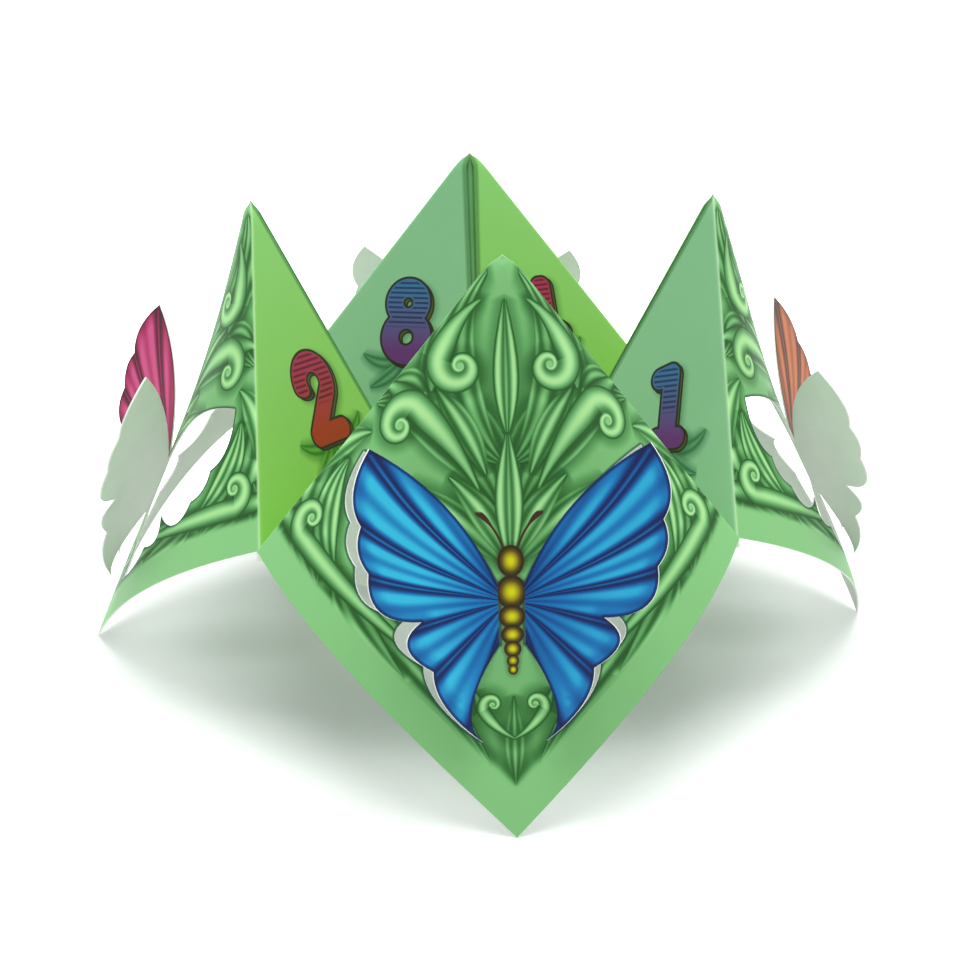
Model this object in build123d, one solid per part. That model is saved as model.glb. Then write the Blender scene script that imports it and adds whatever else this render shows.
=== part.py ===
from build123d import *
import os
from math import acos, asin, atan, atan2, cos, degrees, pi, radians, sin, sqrt, tan

# A paper fortune teller: one square of printed card, blintz folded twice and opened up.
# It stands on the free corners of its four outer flaps.  The horns point along X and Y,
# +Z is up, and the origin is on the table, under the crossing of the creases.

# Driving sizes, in millimetres and degrees
sheet_side = 210.0
card_thickness = 0.25
layer_gap = 0.12
valley_slope = 28.6
slit_width = 1.1
edge_gap = 0.2

# The butterfly, measured on the flat outer flap from the tip of the horn
body_width = 3.4
wing_top = 24.8
wing_height = 37.0
wing_reach = 20.25
wing_lift = 31.0

# A wing's outline, from the upper end of its hinge: each curve has a point that it passes
# half way and its end.  First number: share of the reach, out from the hinge.  Second
# number: share of the height, down from the top of the wing.
hinge_start = (0.0, 0.470)
wing_curves = [
    ((0.360, 0.192), (0.879, 0.0)),
    ((1.0, 0.138), (0.953, 0.251)),
    ((0.978, 0.330), (0.909, 0.405)),
    ((0.837, 0.532), (0.543, 0.577)),
    ((0.647, 0.657), (0.469, 0.746)),
    ((0.390, 0.868), (0.133, 1.0)),
    ((0.200, 0.876), (0.0, 0.673)),
]

# Curves that carry one drawn line onto the bent card
bends = 2

# The packet is a square of four panels, and each horn is one panel
panel = sheet_side / 4
pitch = card_thickness + layer_gap
half_card = card_thickness / 2

# Layers of a wall, from its middle plane: the fold of the two inner layers has its axis there
base_level = -pitch / 2
under_level = pitch / 2
face_level = 1.5 * pitch
flap_level = 1.5 * pitch

# How far plates and strips reach past the planes that trim them
spare = 5 * pitch

# Corners of the front right wall, with the crossing of the creases at zero for now
slope = radians(valley_slope)
tip_slope = atan(sqrt(2) * tan(slope)) + acos(1 / sqrt(1 + sin(slope) ** 2))
middle = Vector(0, 0, 0)
side_corner = Vector(cos(slope) / sqrt(2), -cos(slope) / sqrt(2), sin(slope)) * panel
tip = Vector(0, -cos(tip_slope), sin(tip_slope)) * (panel * sqrt(2))

# Directions of that wall: along its outer fold, towards the middle, and out of its face
along = (side_corner - tip).normalized()
inward = (middle - side_corner).normalized()
face_normal = along.cross(inward)
ridge = (middle - tip).normalized()

# The planes that trim it: the mirror plane of the horn, and the one between two horns
horn_plane = Plane(origin=middle, z_dir=(1, 0, 0))
valley_plane = Plane(origin=middle, z_dir=(-1, -1, 0))
wall_plane = Plane(origin=tip, x_dir=along, z_dir=face_normal)
fold_plane = Plane(origin=tip, z_dir=inward)


def half_span_of_cone():
    """Half the turn, in radians, of a round cone that a quarter of a circle of card makes
    when its two straight sides stand as far apart as the outer folds of a horn."""
    wanted = side_corner.X / panel / (pi / 4)
    low = pi / 4
    high = pi
    for step in range(50):
        guess = (low + high) / 2
        if sin(guess) / guess > wanted:
            low = guess
        else:
            high = guess
    return low


# The cone of the front flap.  Its apex stands out by the layers that the flap wraps.
half_span = half_span_of_cone()
cone_slant = asin(pi / 4 / half_span)
middle_of_sides = Vector(0, side_corner.Y, side_corner.Z)
down_middle = (middle_of_sides - tip).normalized()
out_of_middle = Vector(0, down_middle.Z, -down_middle.Y)
axis_turn = atan(tan(cone_slant) * cos(half_span))
cone_axis = down_middle * cos(axis_turn) - out_of_middle * sin(axis_turn)
cone_front = down_middle * sin(axis_turn) + out_of_middle * cos(axis_turn)
apex = tip - cone_axis * (flap_level / sin(cone_slant))
overhang = flap_level / tan(cone_slant)
flap_diagonal = panel * sqrt(2)


def radial(turn):
    """Direction square to the cone's axis, turned from the diagonal towards +X."""
    return cone_front * cos(turn) + Vector(sin(turn), 0, 0)


def cone_turn(across, down):
    """Turn round the cone of a place on the flat flap, in radians."""
    return atan2(across, down) / sin(cone_slant)


def flap_normal(turn):
    """Outward normal of the bent flap."""
    return radial(turn) * cos(cone_slant) - cone_axis * sin(cone_slant)


def ruling(turn):
    """Direction of the straight line from the apex down the bent flap."""
    return radial(turn) * sin(cone_slant) + cone_axis * cos(cone_slant)


def on_flap(across, down):
    """Place on the bent flap, in the middle of the card, of a point of the flat flap."""
    distance = sqrt(across ** 2 + down ** 2)
    return apex + ruling(cone_turn(across, down)) * distance


def fold_strip(line, start, end, side, radius, turn):
    """Card bent round a fold line: side is the direction where the bend begins."""
    frame = Plane(origin=line.position, x_dir=line.direction, z_dir=line.direction.cross(side))
    section = frame * Pos((start + end) / 2, radius) * Rectangle(end - start, card_thickness)
    return revolve(section, axis=line, revolution_arc=turn)


def plate(corners, level):
    """Flat layer of a wall, from corners measured from the tip along and inward."""
    outline = make_face(Polyline(*corners, close=True))
    return extrude(wall_plane.offset(level) * outline, amount=half_card, both=True)


def trim(piece, *planes):
    """What lies on the positive side of each plane."""
    for plane in planes:
        piece = split(piece, bisect_by=plane, keep=Keep.TOP)
    return piece


def base_layer():
    """Quarter of the middle of the sheet, creased at both of its trimmed sides."""
    far = panel + spare
    corners = [(-spare, 0), (far, 0), (far, far + 2 * spare), (-spare, spare)]
    return trim(plate(corners, base_level), horn_plane, valley_plane)


def ridge_inset():
    """Distance of the slit's folds from the ridge, measured in the wall."""
    return (slit_width / 2 - pitch * sin(slope)) / cos(slope) + pitch / 2 + half_card


def doubled_layer(level, last_plane):
    """Layer that ends at the folds beside the ridge: the printed face, or the one under it."""
    start = ridge_inset() * sqrt(2)
    far = panel + spare
    corners = [(start, 0), (far, 0), (far, far - start)]
    return trim(plate(corners, level), last_plane)


def wall():
    """Front right wall of a horn: three layers and the folds between them."""
    cut_edge_plane = valley_plane.offset(edge_gap / 2)
    outer_fold = Axis(tip, along)
    start = ridge_inset() * sqrt(2)
    slit_fold = Axis(tip + along * start + face_normal * pitch, ridge)
    inner_strip = fold_strip(outer_fold, -spare, panel + spare, face_normal, pitch / 2, 180)
    slit_strip = fold_strip(slit_fold, -spare, flap_diagonal, -face_normal, pitch / 2, 180)
    wrap = degrees(acos(face_normal.dot(flap_normal(half_span))))
    outer_end = panel - overhang
    outer_strip = fold_strip(outer_fold, -spare, outer_end, face_normal, face_level, wrap)
    layers = base_layer()
    layers += doubled_layer(under_level, valley_plane)
    layers += doubled_layer(face_level, cut_edge_plane)
    layers += trim(inner_strip, horn_plane, valley_plane)
    layers += trim(slit_strip, fold_plane, cut_edge_plane)
    layers += trim(outer_strip, horn_plane, cut_edge_plane)
    return layers


def cone_sector():
    """Quarter circle of card, rolled into the cone of the front flap."""
    reach = flap_diagonal + spare
    lead = half_card / tan(cone_slant)
    section_plane = Plane(origin=apex, x_dir=ruling(0), z_dir=ruling(0).cross(flap_normal(0)))
    corners = [(-lead, half_card), (reach, half_card), (reach, -half_card), (lead, -half_card)]
    section = section_plane * make_face(Polyline(*corners, close=True))
    line = Axis(apex, cone_axis)
    sector = revolve(section, axis=line, revolution_arc=2 * degrees(half_span))
    return sector.rotate(line, -degrees(half_span))


def curve(start, half_way, end):
    """Curve through three points.  It keeps within the triangle of its pull, so it never
    crosses its neighbours when the outline is stretched."""
    pull = half_way * 2 - (start + end) / 2
    return Edge.make_bezier(start, pull, end)


def cutter(flat_edges, turn, beyond=()):
    """Tool that cuts through the bent flap along lines drawn on the flat flap.  It runs
    square to the card at the given turn.  Straight lines close it, by way of the points
    beyond the edge of the card, which are also drawn on the flat flap."""
    frame = Plane(origin=on_flap(0, flap_diagonal / 2), z_dir=flap_normal(turn))

    def seen(point):
        local = frame.to_local_coords(on_flap(point.X, point.Y))
        return Vector(local.X, local.Y)

    edges = []
    for flat_edge in flat_edges:
        shares = [step / (2 * bends) for step in range(2 * bends + 1)]
        points = [seen(flat_edge.position_at(share)) for share in shares]
        edges += [curve(*points[first:first + 3]) for first in range(0, 2 * bends, 2)]
    corners = [edges[-1] @ 1] + [seen(point) for point in beyond] + [edges[0] @ 0]
    edges += [Edge.make_line(start, end) for start, end in zip(corners, corners[1:])]
    return extrude(frame * Face(Wire(edges)), amount=panel / 3, both=True)


def free_edge_cutter():
    """Tool that trims the right free edge of the flap, from the side corner to the foot.
    It passes both ends a little, and then takes in all the card beyond the edge."""
    side = Vector(1, 1) * (panel / sqrt(2))
    foot = Vector(0, flap_diagonal)
    passed = (foot - side) * 0.1
    line = Edge.make_line(side - passed * 0.2, foot + passed)
    return cutter([line], half_span / 2, [(line @ 1) * 1.8, (line @ 0) * 1.8])


def wing_edges():
    """Cut line of the right wing on the flat flap: across the diagonal, and down it."""
    def place(share):
        across = body_width / 2 + share[0] * wing_reach
        return Vector(across, wing_top + share[1] * wing_height)
    edges = []
    start = hinge_start
    for half_way, end in wing_curves:
        edges.append(curve(place(start), place(half_way), place(end)))
        start = end
    return edges


def flap():
    """Outer flap of the front horn, bent to a cone, with the two windows of its wings."""
    free_edge = free_edge_cutter()
    middle_of_wing = cone_turn(body_width / 2 + wing_reach / 2, wing_top + wing_height / 2)
    window = cutter(wing_edges(), middle_of_wing)
    bent = cone_sector()
    for tool in (free_edge, window):
        bent -= tool
        bent -= mirror(tool, about=Plane.YZ)
    return bent


def wing():
    """Right wing of the front flap: flat card, folded out at its hinge beside the body."""
    edges = wing_edges()
    top = edges[0] @ 0
    bottom = edges[-1] @ 1
    hinge_top = on_flap(top.X, top.Y)
    hinge_bottom = on_flap(bottom.X, bottom.Y)
    down = (hinge_bottom - hinge_top).normalized()
    normal = flap_normal(cone_turn(top.X, (top.Y + bottom.Y) / 2))
    across = normal.cross(down)
    lift = radians(wing_lift)
    lifted = across * cos(lift) + normal * sin(lift)
    frame = Plane(origin=hinge_top, x_dir=lifted, z_dir=lifted.cross(down))
    outline = Face(Wire(edges + [Edge.make_line(bottom, top)]))
    blade = extrude(frame * Pos(-top.X, -top.Y) * outline, amount=half_card, both=True)
    hinge = Plane(origin=(hinge_top + hinge_bottom) / 2, z_dir=down)
    knuckle = hinge * Cylinder(half_card, (hinge_bottom - hinge_top).length)
    return blade + knuckle


def horn():
    """Front horn: its outer flap with both wings, and its two walls."""
    right = wall() + wing()
    return flap() + right + mirror(right, about=Plane.YZ)


def folded_sheet():
    """The whole sheet: four horns round the middle, standing on the corners of the flaps."""
    front = horn()
    sheet = front
    for turn in (90, 180, 270):
        sheet += front.rotate(Axis.Z, turn)
    return Pos(0, 0, -sheet.bounding_box().min.Z) * sheet


os.makedirs("parts", exist_ok=True)
sheet = folded_sheet()
export_step(sheet, "parts/folded_sheet.step")
size = sheet.bounding_box().size
print(f"stands {size.X:.1f} by {size.Y:.1f} by {size.Z:.1f} mm, folded from {sheet_side:.0f} mm")
print(f"card volume {sheet.volume:.0f} mm3 in {len(sheet.solids())} solid")
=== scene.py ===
# %% [markdown]
# # A paper fortune teller with butterflies
# One square of printed card is cut, creased and folded, and opened until it stands on the
# corners of its four outer flaps. This lesson makes it the way the real one is made: a flat
# quarter of the sheet is cut and printed, folded by a formula, and turned round four times.

# %% Load the frame
from math import acos, asin, atan, atan2, cos, exp, hypot, pi, radians, sin, sqrt, tan
import bpy
import numpy as np
from mathutils import Matrix, Vector


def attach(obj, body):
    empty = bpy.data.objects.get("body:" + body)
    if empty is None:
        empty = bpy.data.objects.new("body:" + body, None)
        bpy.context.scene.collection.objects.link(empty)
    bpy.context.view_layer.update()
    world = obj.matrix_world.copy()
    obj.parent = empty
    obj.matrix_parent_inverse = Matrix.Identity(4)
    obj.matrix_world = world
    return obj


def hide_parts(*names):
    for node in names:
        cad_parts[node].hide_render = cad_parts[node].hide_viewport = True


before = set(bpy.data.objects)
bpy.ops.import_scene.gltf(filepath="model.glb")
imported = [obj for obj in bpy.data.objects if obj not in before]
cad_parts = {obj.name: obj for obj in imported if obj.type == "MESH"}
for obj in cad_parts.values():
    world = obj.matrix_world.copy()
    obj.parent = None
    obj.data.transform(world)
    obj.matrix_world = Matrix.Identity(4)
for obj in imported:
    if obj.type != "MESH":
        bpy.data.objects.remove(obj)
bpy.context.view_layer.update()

# %% [markdown]
# ## The size of the sheet
# Everything follows from the side of the square. Card makers think in millimetres, so the
# sheet is worked out in millimetres, and only the finished points become metres. One layer
# of card follows the next at LAYER_PITCH, the two walls of a horn leave SLIT_WIDTH between
# them along the ridge, and free edges leave CUT_EDGE_GAP along the valleys, which rise from
# the middle of the sheet at VALLEY_SLOPE.

# %% Sizes of the card
MILLIMETRE = 0.001
SHEET_SIDE = 210.0
PANEL = SHEET_SIDE / 4
CARD_THICKNESS = 0.25
LAYER_PITCH = 0.37
VALLEY_SLOPE = radians(28.6)
SLIT_WIDTH = 1.1
CUT_EDGE_GAP = 0.2
FLAP_DIAGONAL = PANEL * sqrt(2)
print(f"panel {PANEL:.1f} mm, flap diagonal {FLAP_DIAGONAL:.1f} mm")


# %% [markdown]
# ## Where the walls stand
# Each horn has two flat walls and one bent outer flap. The front right wall is worked out
# first: its tip, its side corner, and the directions along its outer fold, inward to the
# middle, and out of its printed face. Mirroring and quarter turns give the other seven.

# %% Front right wall
def unit(vector):
    """The same direction, one long."""
    vector = np.asarray(vector, float)
    return vector / np.linalg.norm(vector)


tip_slope = atan(sqrt(2) * tan(VALLEY_SLOPE)) + acos(1 / sqrt(1 + sin(VALLEY_SLOPE) ** 2))
side_corner = np.array((cos(VALLEY_SLOPE) / sqrt(2), -cos(VALLEY_SLOPE) / sqrt(2),
                        sin(VALLEY_SLOPE))) * PANEL
tip = np.array((0, -cos(tip_slope), sin(tip_slope))) * FLAP_DIAGONAL
along = unit(side_corner - tip)
inward = unit(-side_corner)
face_normal = np.cross(along, inward)
print("tip", tip.round(1), "side corner", side_corner.round(1), "with the middle at zero")

# %% [markdown]
# Two horns meet in a crease that lies in the plane halfway between them, and the two walls
# of a horn meet in its mirror plane. Layers above or below the middle of the wall reach
# those planes a little earlier or later, so each corner has its own way up through them.

# %% Ways up through the layers
valley_normal = unit((-1, -1, 0))
mirror_normal = np.array((1.0, 0, 0))


def leaned(normal, direction, plane_normal):
    """The normal, leaned along a direction until it lies in the plane."""
    return normal - direction * (normal @ plane_normal) / (direction @ plane_normal)


up_at_tip = leaned(face_normal, along, mirror_normal)
up_at_side = leaned(face_normal, along, valley_normal)
up_at_middle = np.array((0, 0, 1 / face_normal[2]))
print("up at the tip", up_at_tip.round(2), "and at the side corner", up_at_side.round(2))

# %% [markdown]
# ## The cone of the outer flap
# The flap is a square held by two of its sides, which stand closer together than they lie
# flat. Card can't stretch, so it bows out into part of a cone, with its apex at the tip.
# Half the turn of that cone is found by halving steps, because it has no plain formula.

# %% Cone of the flap
HALVINGS = 50
wanted_ratio = side_corner[0] / PANEL / (pi / 4)
low_turn, high_turn = pi / 4, pi
for halving in range(HALVINGS):
    half_span = (low_turn + high_turn) / 2
    if sin(half_span) / half_span > wanted_ratio:
        low_turn = half_span
    else:
        high_turn = half_span
cone_slant = asin(pi / 4 / half_span)
down_middle = unit(np.array((0, side_corner[1], side_corner[2])) - tip)
out_of_middle = np.array((0, down_middle[2], -down_middle[1]))
axis_turn = atan(tan(cone_slant) * cos(half_span))
cone_axis = down_middle * cos(axis_turn) - out_of_middle * sin(axis_turn)
cone_front = down_middle * sin(axis_turn) + out_of_middle * cos(axis_turn)
print(f"cone slant {cone_slant:.3f} and half turn {half_span:.3f} radians")


def radial(turn):
    """Directions square to the cone's axis."""
    turn = np.atleast_1d(turn)[:, None]
    return cone_front * np.cos(turn) + mirror_normal * np.sin(turn)


def flap_normal(turn):
    """Outward normals of the bent flap."""
    return radial(turn) * cos(cone_slant) - cone_axis * sin(cone_slant)


def ruling(turn):
    """Directions from the apex down the bent flap."""
    return radial(turn) * sin(cone_slant) + cone_axis * cos(cone_slant)


wrap_turn = acos(face_normal @ flap_normal(half_span)[0])

# %% [markdown]
# ## How a flat point finds its folded place
# A quarter of the sheet lies flat with the middle of the sheet at (0, 0) and the tip of the
# horn at (PANEL, PANEL). Walking away from the middle, the card passes the base, turns back
# as the hidden layer, turns again as the numbered face, and wraps round as the outer flap.
# Every fold is a small round bend. At the very tip the layers are pressed together.

# %% Fold helpers
TIP_PRESS = 2.6
SLIT_INSET = ((SLIT_WIDTH / 2 - LAYER_PITCH * sin(VALLEY_SLOPE)) / cos(VALLEY_SLOPE)
              + LAYER_PITCH / 2 + CARD_THICKNESS / 2)
LEAST = 1e-9


def eased(share):
    """Smooth step from 0 to 1."""
    share = np.clip(share, 0, 1)
    return share * share * (3 - 2 * share)


def between(first, last, share):
    """Mix of two rows of numbers or points."""
    share = share.reshape(share.shape + (1,) * (np.ndim(first) - 1))
    return first * (1 - share) + last * share


print(f"the fold beside a ridge stands {SLIT_INSET:.2f} mm back from it")


# %% Places on the right wall
def on_wall(along_fold, inside, level, up):
    """Place on the front right wall, at a level out of its middle plane."""
    return (tip + along_fold[:, None] * along + inside[:, None] * inward
            + level[:, None] * up)


def up_from_base(along_fold, inside):
    """Ways up from the base, shared out between the three corners of the wall."""
    side_share = (along_fold - inside) / PANEL
    middle_share = inside / PANEL
    tip_share = 1 - along_fold / PANEL
    return (tip_share[:, None] * up_at_tip + side_share[:, None] * up_at_side
            + middle_share[:, None] * up_at_middle)


def up_from_wall(along_fold):
    """Ways up through the upper layers: plain at the tip, leaned at the side corner."""
    return between(np.tile(face_normal, (len(along_fold), 1)),
                   np.tile(up_at_side, (len(along_fold), 1)), along_fold / PANEL)


# %% [markdown]
# A real flap isn't quite a cone: the windows weaken it, so its middle bows out or dents in
# by a millimetre or two, while its tip, its folds and its foot stay where they are. Up to
# three waves down the flap give that: the first has one hump, and each next one has half a
# wave more.

# %% Place on the outer flap
def on_flap(across, down, pitch, bow):
    """Place on the bent flap of points measured across and down its diagonal."""
    distance = np.hypot(across, down)
    turn = np.arctan2(across, down) / sin(cone_slant)
    apex = tip - cone_axis * (1.5 * pitch / sin(cone_slant))[:, None]
    down_share = np.clip(distance / FLAP_DIAGONAL, 0, 1)
    bulge = sum(height * np.sin(humps * pi * down_share) for humps, height in enumerate(bow, 1))
    bulge = bulge * (1 - np.clip(turn / half_span, -1, 1) ** 2)
    return apex + ruling(turn) * distance[:, None] + flap_normal(turn) * bulge[:, None]


foot = on_flap(np.zeros(1), np.full(1, FLAP_DIAGONAL), np.full(1, LAYER_PITCH), (0.0,))[0]
print("the foot of the flap lies at", foot.round(1), "with the middle at zero")

# %% [markdown]
# The folding itself treats one half of the quarter, the half that becomes the right wall.
# A flat point is given by its smaller and its larger coordinate, called one and two. First
# come its distances past three folds: the outer fold, the fold beside the slit along the
# ridge, and the fold where the flap wraps round the wall. The bends there use up card, so
# the flat stretches beside them are scaled by a hair, and neighbouring regions meet exactly.
# Small is half the step between layers, tight and wide are the half widths of the bends
# round one layer and round three, and apart is how far a point lies from the ridge.

# %% Distances past the folds
def past_the_folds(one, two):
    """What each region has to know of flat points with two >= one."""
    from_tip = np.hypot(one - PANEL, two - PANEL)
    press = eased(from_tip / TIP_PRESS)
    pitch = LAYER_PITCH * press
    small = pitch / 2
    inset = SLIT_INSET * press
    tight = small * pi / 2
    wide = 1.5 * pitch * wrap_turn / 2
    end = PANEL - CUT_EDGE_GAP / 2 / abs(along @ valley_normal) * press
    return {
        "from_tip": from_tip, "pitch": pitch, "small": small, "inset": inset,
        "tight": tight, "wide": wide, "past_outer": two - PANEL, "past_wrap": one - PANEL,
        "past_slit": (one + two - 2 * PANEL) / sqrt(2), "apart": (two - one) / sqrt(2),
        "scale_base": PANEL / (PANEL - tight),
        "scale_under": (PANEL - sqrt(2) * inset) / (PANEL - tight - sqrt(2) * tight),
        "scale_face": (end - sqrt(2) * inset) / (PANEL - wide - sqrt(2) * tight),
    }


# %% [markdown]
# Each region is a function of its own, which says for every point whether it lies there
# and where it would go. They are named in the order in which the card passes them.

# %% Base, and the bend round the outer fold
def base(past_outer, past_wrap, small, tight, scale_base, **others):
    """The base of the sheet, just below the middle of the wall."""
    inside = (-past_outer - tight) * scale_base
    ridge_gap = (past_outer - past_wrap) / sqrt(2) * scale_base
    run = inside + sqrt(2) * ridge_gap
    places = on_wall(run, inside, -small, up_from_base(run, inside))
    return (past_wrap <= 0) & (past_outer <= -tight), places


def outer_bend(past_outer, past_wrap, small, inset, tight, scale_base, scale_under, **others):
    """From the base round to the hidden layer."""
    which = (past_wrap <= 0) & (np.abs(past_outer) < tight)
    bend = np.where(which, past_outer / np.maximum(small, LEAST), 0)
    turned = (1 + np.sin(bend)) / 2
    run_below = (-past_wrap - tight) * scale_base
    run_above = sqrt(2) * inset + (-past_wrap - tight - sqrt(2) * tight) * scale_under
    run = between(run_below, run_above, turned)
    up = between(up_from_base(run, 0 * run), up_from_wall(run), turned)
    return which, on_wall(run, -small * np.cos(bend), small * np.sin(bend), up)


# %% Hidden layer, and the bend beside the slit
def hidden_layer(past_outer, past_slit, small, inset, tight, scale_under, **others):
    """The layer between the base and the numbered face."""
    inside = (past_outer - tight) * scale_under
    ridge_gap = inset + (-past_slit - tight) * scale_under
    run = inside + sqrt(2) * ridge_gap
    places = on_wall(run, inside, small, up_from_wall(run))
    return (past_outer >= tight) & (past_slit <= -tight), places


def slit_bend(past_outer, past_wrap, past_slit, apart, pitch, small, inset, tight, wide,
              scale_under, scale_face, **others):
    """From the hidden layer round to the numbered face."""
    which = (past_wrap <= 0) & (np.abs(past_slit) < tight) & (past_outer > tight)
    bend = np.where(which, past_slit / np.maximum(small, LEAST), 0)
    turned = (1 + np.sin(bend)) / 2
    inside_flat = (apart - tight) / sqrt(2)
    inside = between((inside_flat - tight) * scale_under, (inside_flat - wide) * scale_face,
                     turned)
    run = inside + sqrt(2) * (inset - small * np.cos(bend))
    return which, on_wall(run, inside, pitch + small * np.sin(bend), up_from_wall(run))


# %% Numbered face, and the bend round the wall
def face_layer(past_wrap, past_slit, small, inset, tight, wide, scale_face, **others):
    """The layer that carries a numeral."""
    inside = (-past_wrap - wide) * scale_face
    ridge_gap = inset + (past_slit - tight) * scale_face
    run = inside + sqrt(2) * ridge_gap
    places = on_wall(run, inside, 3 * small, up_from_wall(run))
    return (past_slit >= tight) & (past_wrap <= -wide), places


def wrap_bend(past_outer, past_wrap, past_slit, small, inset, tight, wide, scale_face,
              **others):
    """From the numbered face round all the layers to the flap."""
    which = (past_slit > 0) & (np.abs(past_wrap) < wide)
    bend = np.where(which, (past_wrap + wide) / np.maximum(3 * small, LEAST), 0)
    turned = bend / wrap_turn
    run_on_face = sqrt(2) * inset + (past_outer - wide - sqrt(2) * tight) * scale_face
    run_on_flap = past_outer - 3 * small / tan(cone_slant)
    run = between(run_on_face, run_on_flap, turned)
    up = between(up_from_wall(run), np.tile(face_normal, (len(run), 1)), turned)
    return which, on_wall(run, -3 * small * np.sin(bend), 3 * small * np.cos(bend), up)


# %% Outer flap, and all the regions together
def outer_flap(past_outer, past_wrap, pitch, wide, bow, **others):
    """The flap, rolled into its cone."""
    beside = past_outer * (past_wrap - wide) / np.maximum(past_outer - wide, LEAST)
    beside = np.minimum(beside, past_outer)
    across, down = (past_outer - beside) / sqrt(2), (past_outer + beside) / sqrt(2)
    return past_wrap >= wide, on_flap(across, down, pitch, bow)


REGIONS = (base, outer_bend, hidden_layer, slit_bend, face_layer, wrap_bend, outer_flap)
TIP_REACH = 1e-6


def fold_right_half(one, two, bow):
    """Folded places of flat points with two >= one, which is the right half of a horn."""
    measures = past_the_folds(one, two)
    places = np.zeros((len(one), 3))
    for region in REGIONS:
        which, region_places = region(bow=bow, **measures)
        places[which] = region_places[which]
    places[measures["from_tip"] < TIP_REACH] = tip
    return places


# %% [markdown]
# The left half is the mirror image. Points on the seam between two horns are pushed along
# the wall onto the plane that both horns share, so that the quarters can be welded.

# %% Fold a whole quarter
SEAM = 1e-4


def fold_quarter(flat, bow):
    """Folded places, in millimetres, of the flat points of the front quarter."""
    swapped = flat[:, 0] > flat[:, 1]
    one = np.where(swapped, flat[:, 1], flat[:, 0])
    two = np.where(swapped, flat[:, 0], flat[:, 1])
    places = fold_right_half(one, two, bow)
    seam = one < SEAM
    off_plane = places @ valley_normal
    slid = places - along * (off_plane / (along @ valley_normal))[:, None]
    places[seam] = slid[seam]
    places[swapped, 0] *= -1
    return places


corners = np.array(((0.0, PANEL), (PANEL, 0.0), (PANEL, PANEL)))
for flat_corner, place in zip(corners, fold_quarter(corners, (0.0,))):
    print("flat corner", flat_corner, "folds to", place.round(1))


# %% [markdown]
# ## The butterfly's cut line
# The wings are cut out of the flap on three sides and folded out at a short hinge beside
# the body. One wing is drawn with seven curves, each through a point half way and an end.
# The numbers are shares of the wing's reach and height, so the wing is easy to resize.

# %% Wing outline
BODY_WIDTH = 3.4
WING_TOP = 24.8
WING_HEIGHT = 37.0
WING_REACH = 20.25
HINGE_START = (0.0, 0.470)
WING_CURVES = [
    ((0.360, 0.192), (0.879, 0.0)),
    ((1.0, 0.138), (0.953, 0.251)),
    ((0.978, 0.330), (0.909, 0.405)),
    ((0.837, 0.532), (0.543, 0.577)),
    ((0.647, 0.657), (0.469, 0.746)),
    ((0.390, 0.868), (0.133, 1.0)),
    ((0.200, 0.876), (0.0, 0.673)),
]
CURVE_STEPS = 12
HINGE_STEPS = 6


def wing_outline():
    """Points across and down the flap, round one wing."""
    def place(shares):
        return np.array((BODY_WIDTH / 2 + shares[0] * WING_REACH,
                         WING_TOP + shares[1] * WING_HEIGHT))
    points = []
    start = place(HINGE_START)
    for half_way, end in WING_CURVES:
        middle, last = place(half_way), place(end)
        pull = middle * 2 - (start + last) / 2
        for step in range(CURVE_STEPS):
            share = step / CURVE_STEPS
            points.append(start * (1 - share) ** 2 + pull * 2 * share * (1 - share)
                          + last * share * share)
        start = last
    back = place(HINGE_START)
    points += [start + (back - start) * step / HINGE_STEPS for step in range(HINGE_STEPS)]
    return np.array(points)


outline = wing_outline()
hinge_high = WING_TOP + HINGE_START[1] * WING_HEIGHT
hinge_low = WING_TOP + WING_CURVES[-1][1][1] * WING_HEIGHT
print(f"wing outline of {len(outline)} points, hinge {hinge_low - hinge_high:.1f} mm long")


# %% [markdown]
# ## The flat quarter, creased
# The card starts as a grid. Bisecting it along each fold line, and a few times beside it,
# gives the bends enough edges to turn smoothly. A real creasing rule does the same job: it
# softens a narrow line so that the card knows where to bend.

# %% Flat card
GRID_CELLS = 60
BEND_STEPS = (0.0, 0.1, 0.2, 0.3, 0.41, 0.85)
CREASE_SNAP = 1e-6
MERGE_REACH = 1e-4


def deselect():
    """Leave nothing selected, because an operator acts on all that is."""
    bpy.ops.object.select_all(action="DESELECT")


def only(piece):
    """Select one object and make it the active one."""
    deselect()
    piece.select_set(True)
    bpy.context.view_layer.objects.active = piece


def crease(direction, distance):
    """Cut the whole card in edit mode along one straight line."""
    normal = Vector((direction[0], direction[1], 0))
    bpy.ops.mesh.select_all(action="SELECT")
    bpy.ops.mesh.bisect(plane_co=normal.normalized() * distance, plane_no=normal,
                        threshold=CREASE_SNAP)


deselect()
bpy.ops.mesh.primitive_grid_add(x_subdivisions=GRID_CELLS, y_subdivisions=GRID_CELLS,
                                size=2 * PANEL, location=(PANEL, PANEL, 0))
card = bpy.context.object
card.name = "folded_card"
bpy.ops.object.transform_apply(location=True)
bpy.ops.object.mode_set(mode="EDIT")
crease((1, -1), 0)
for offset in sorted({sign * step for step in BEND_STEPS for sign in (-1, 1)}):
    crease((1, 0), PANEL + offset)
    crease((0, 1), PANEL + offset)
    crease((1, 1), FLAP_DIAGONAL + offset)
bpy.ops.mesh.select_all(action="SELECT")
bpy.ops.mesh.remove_doubles(threshold=MERGE_REACH)
bpy.ops.object.mode_set(mode="OBJECT")
print("flat quarter has", len(card.data.polygons), "faces")

# %% [markdown]
# ## The cutting die
# A cutter for both wings is a ring of points moved onto the outline, filled and pulled up
# into a block. The card is given a plain thickness for the cut, because a cut between two
# closed solids always works. What the die removes is kept: it becomes the wings.

# %% Die for the wings
DIE_HEIGHT = 4.0


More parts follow.
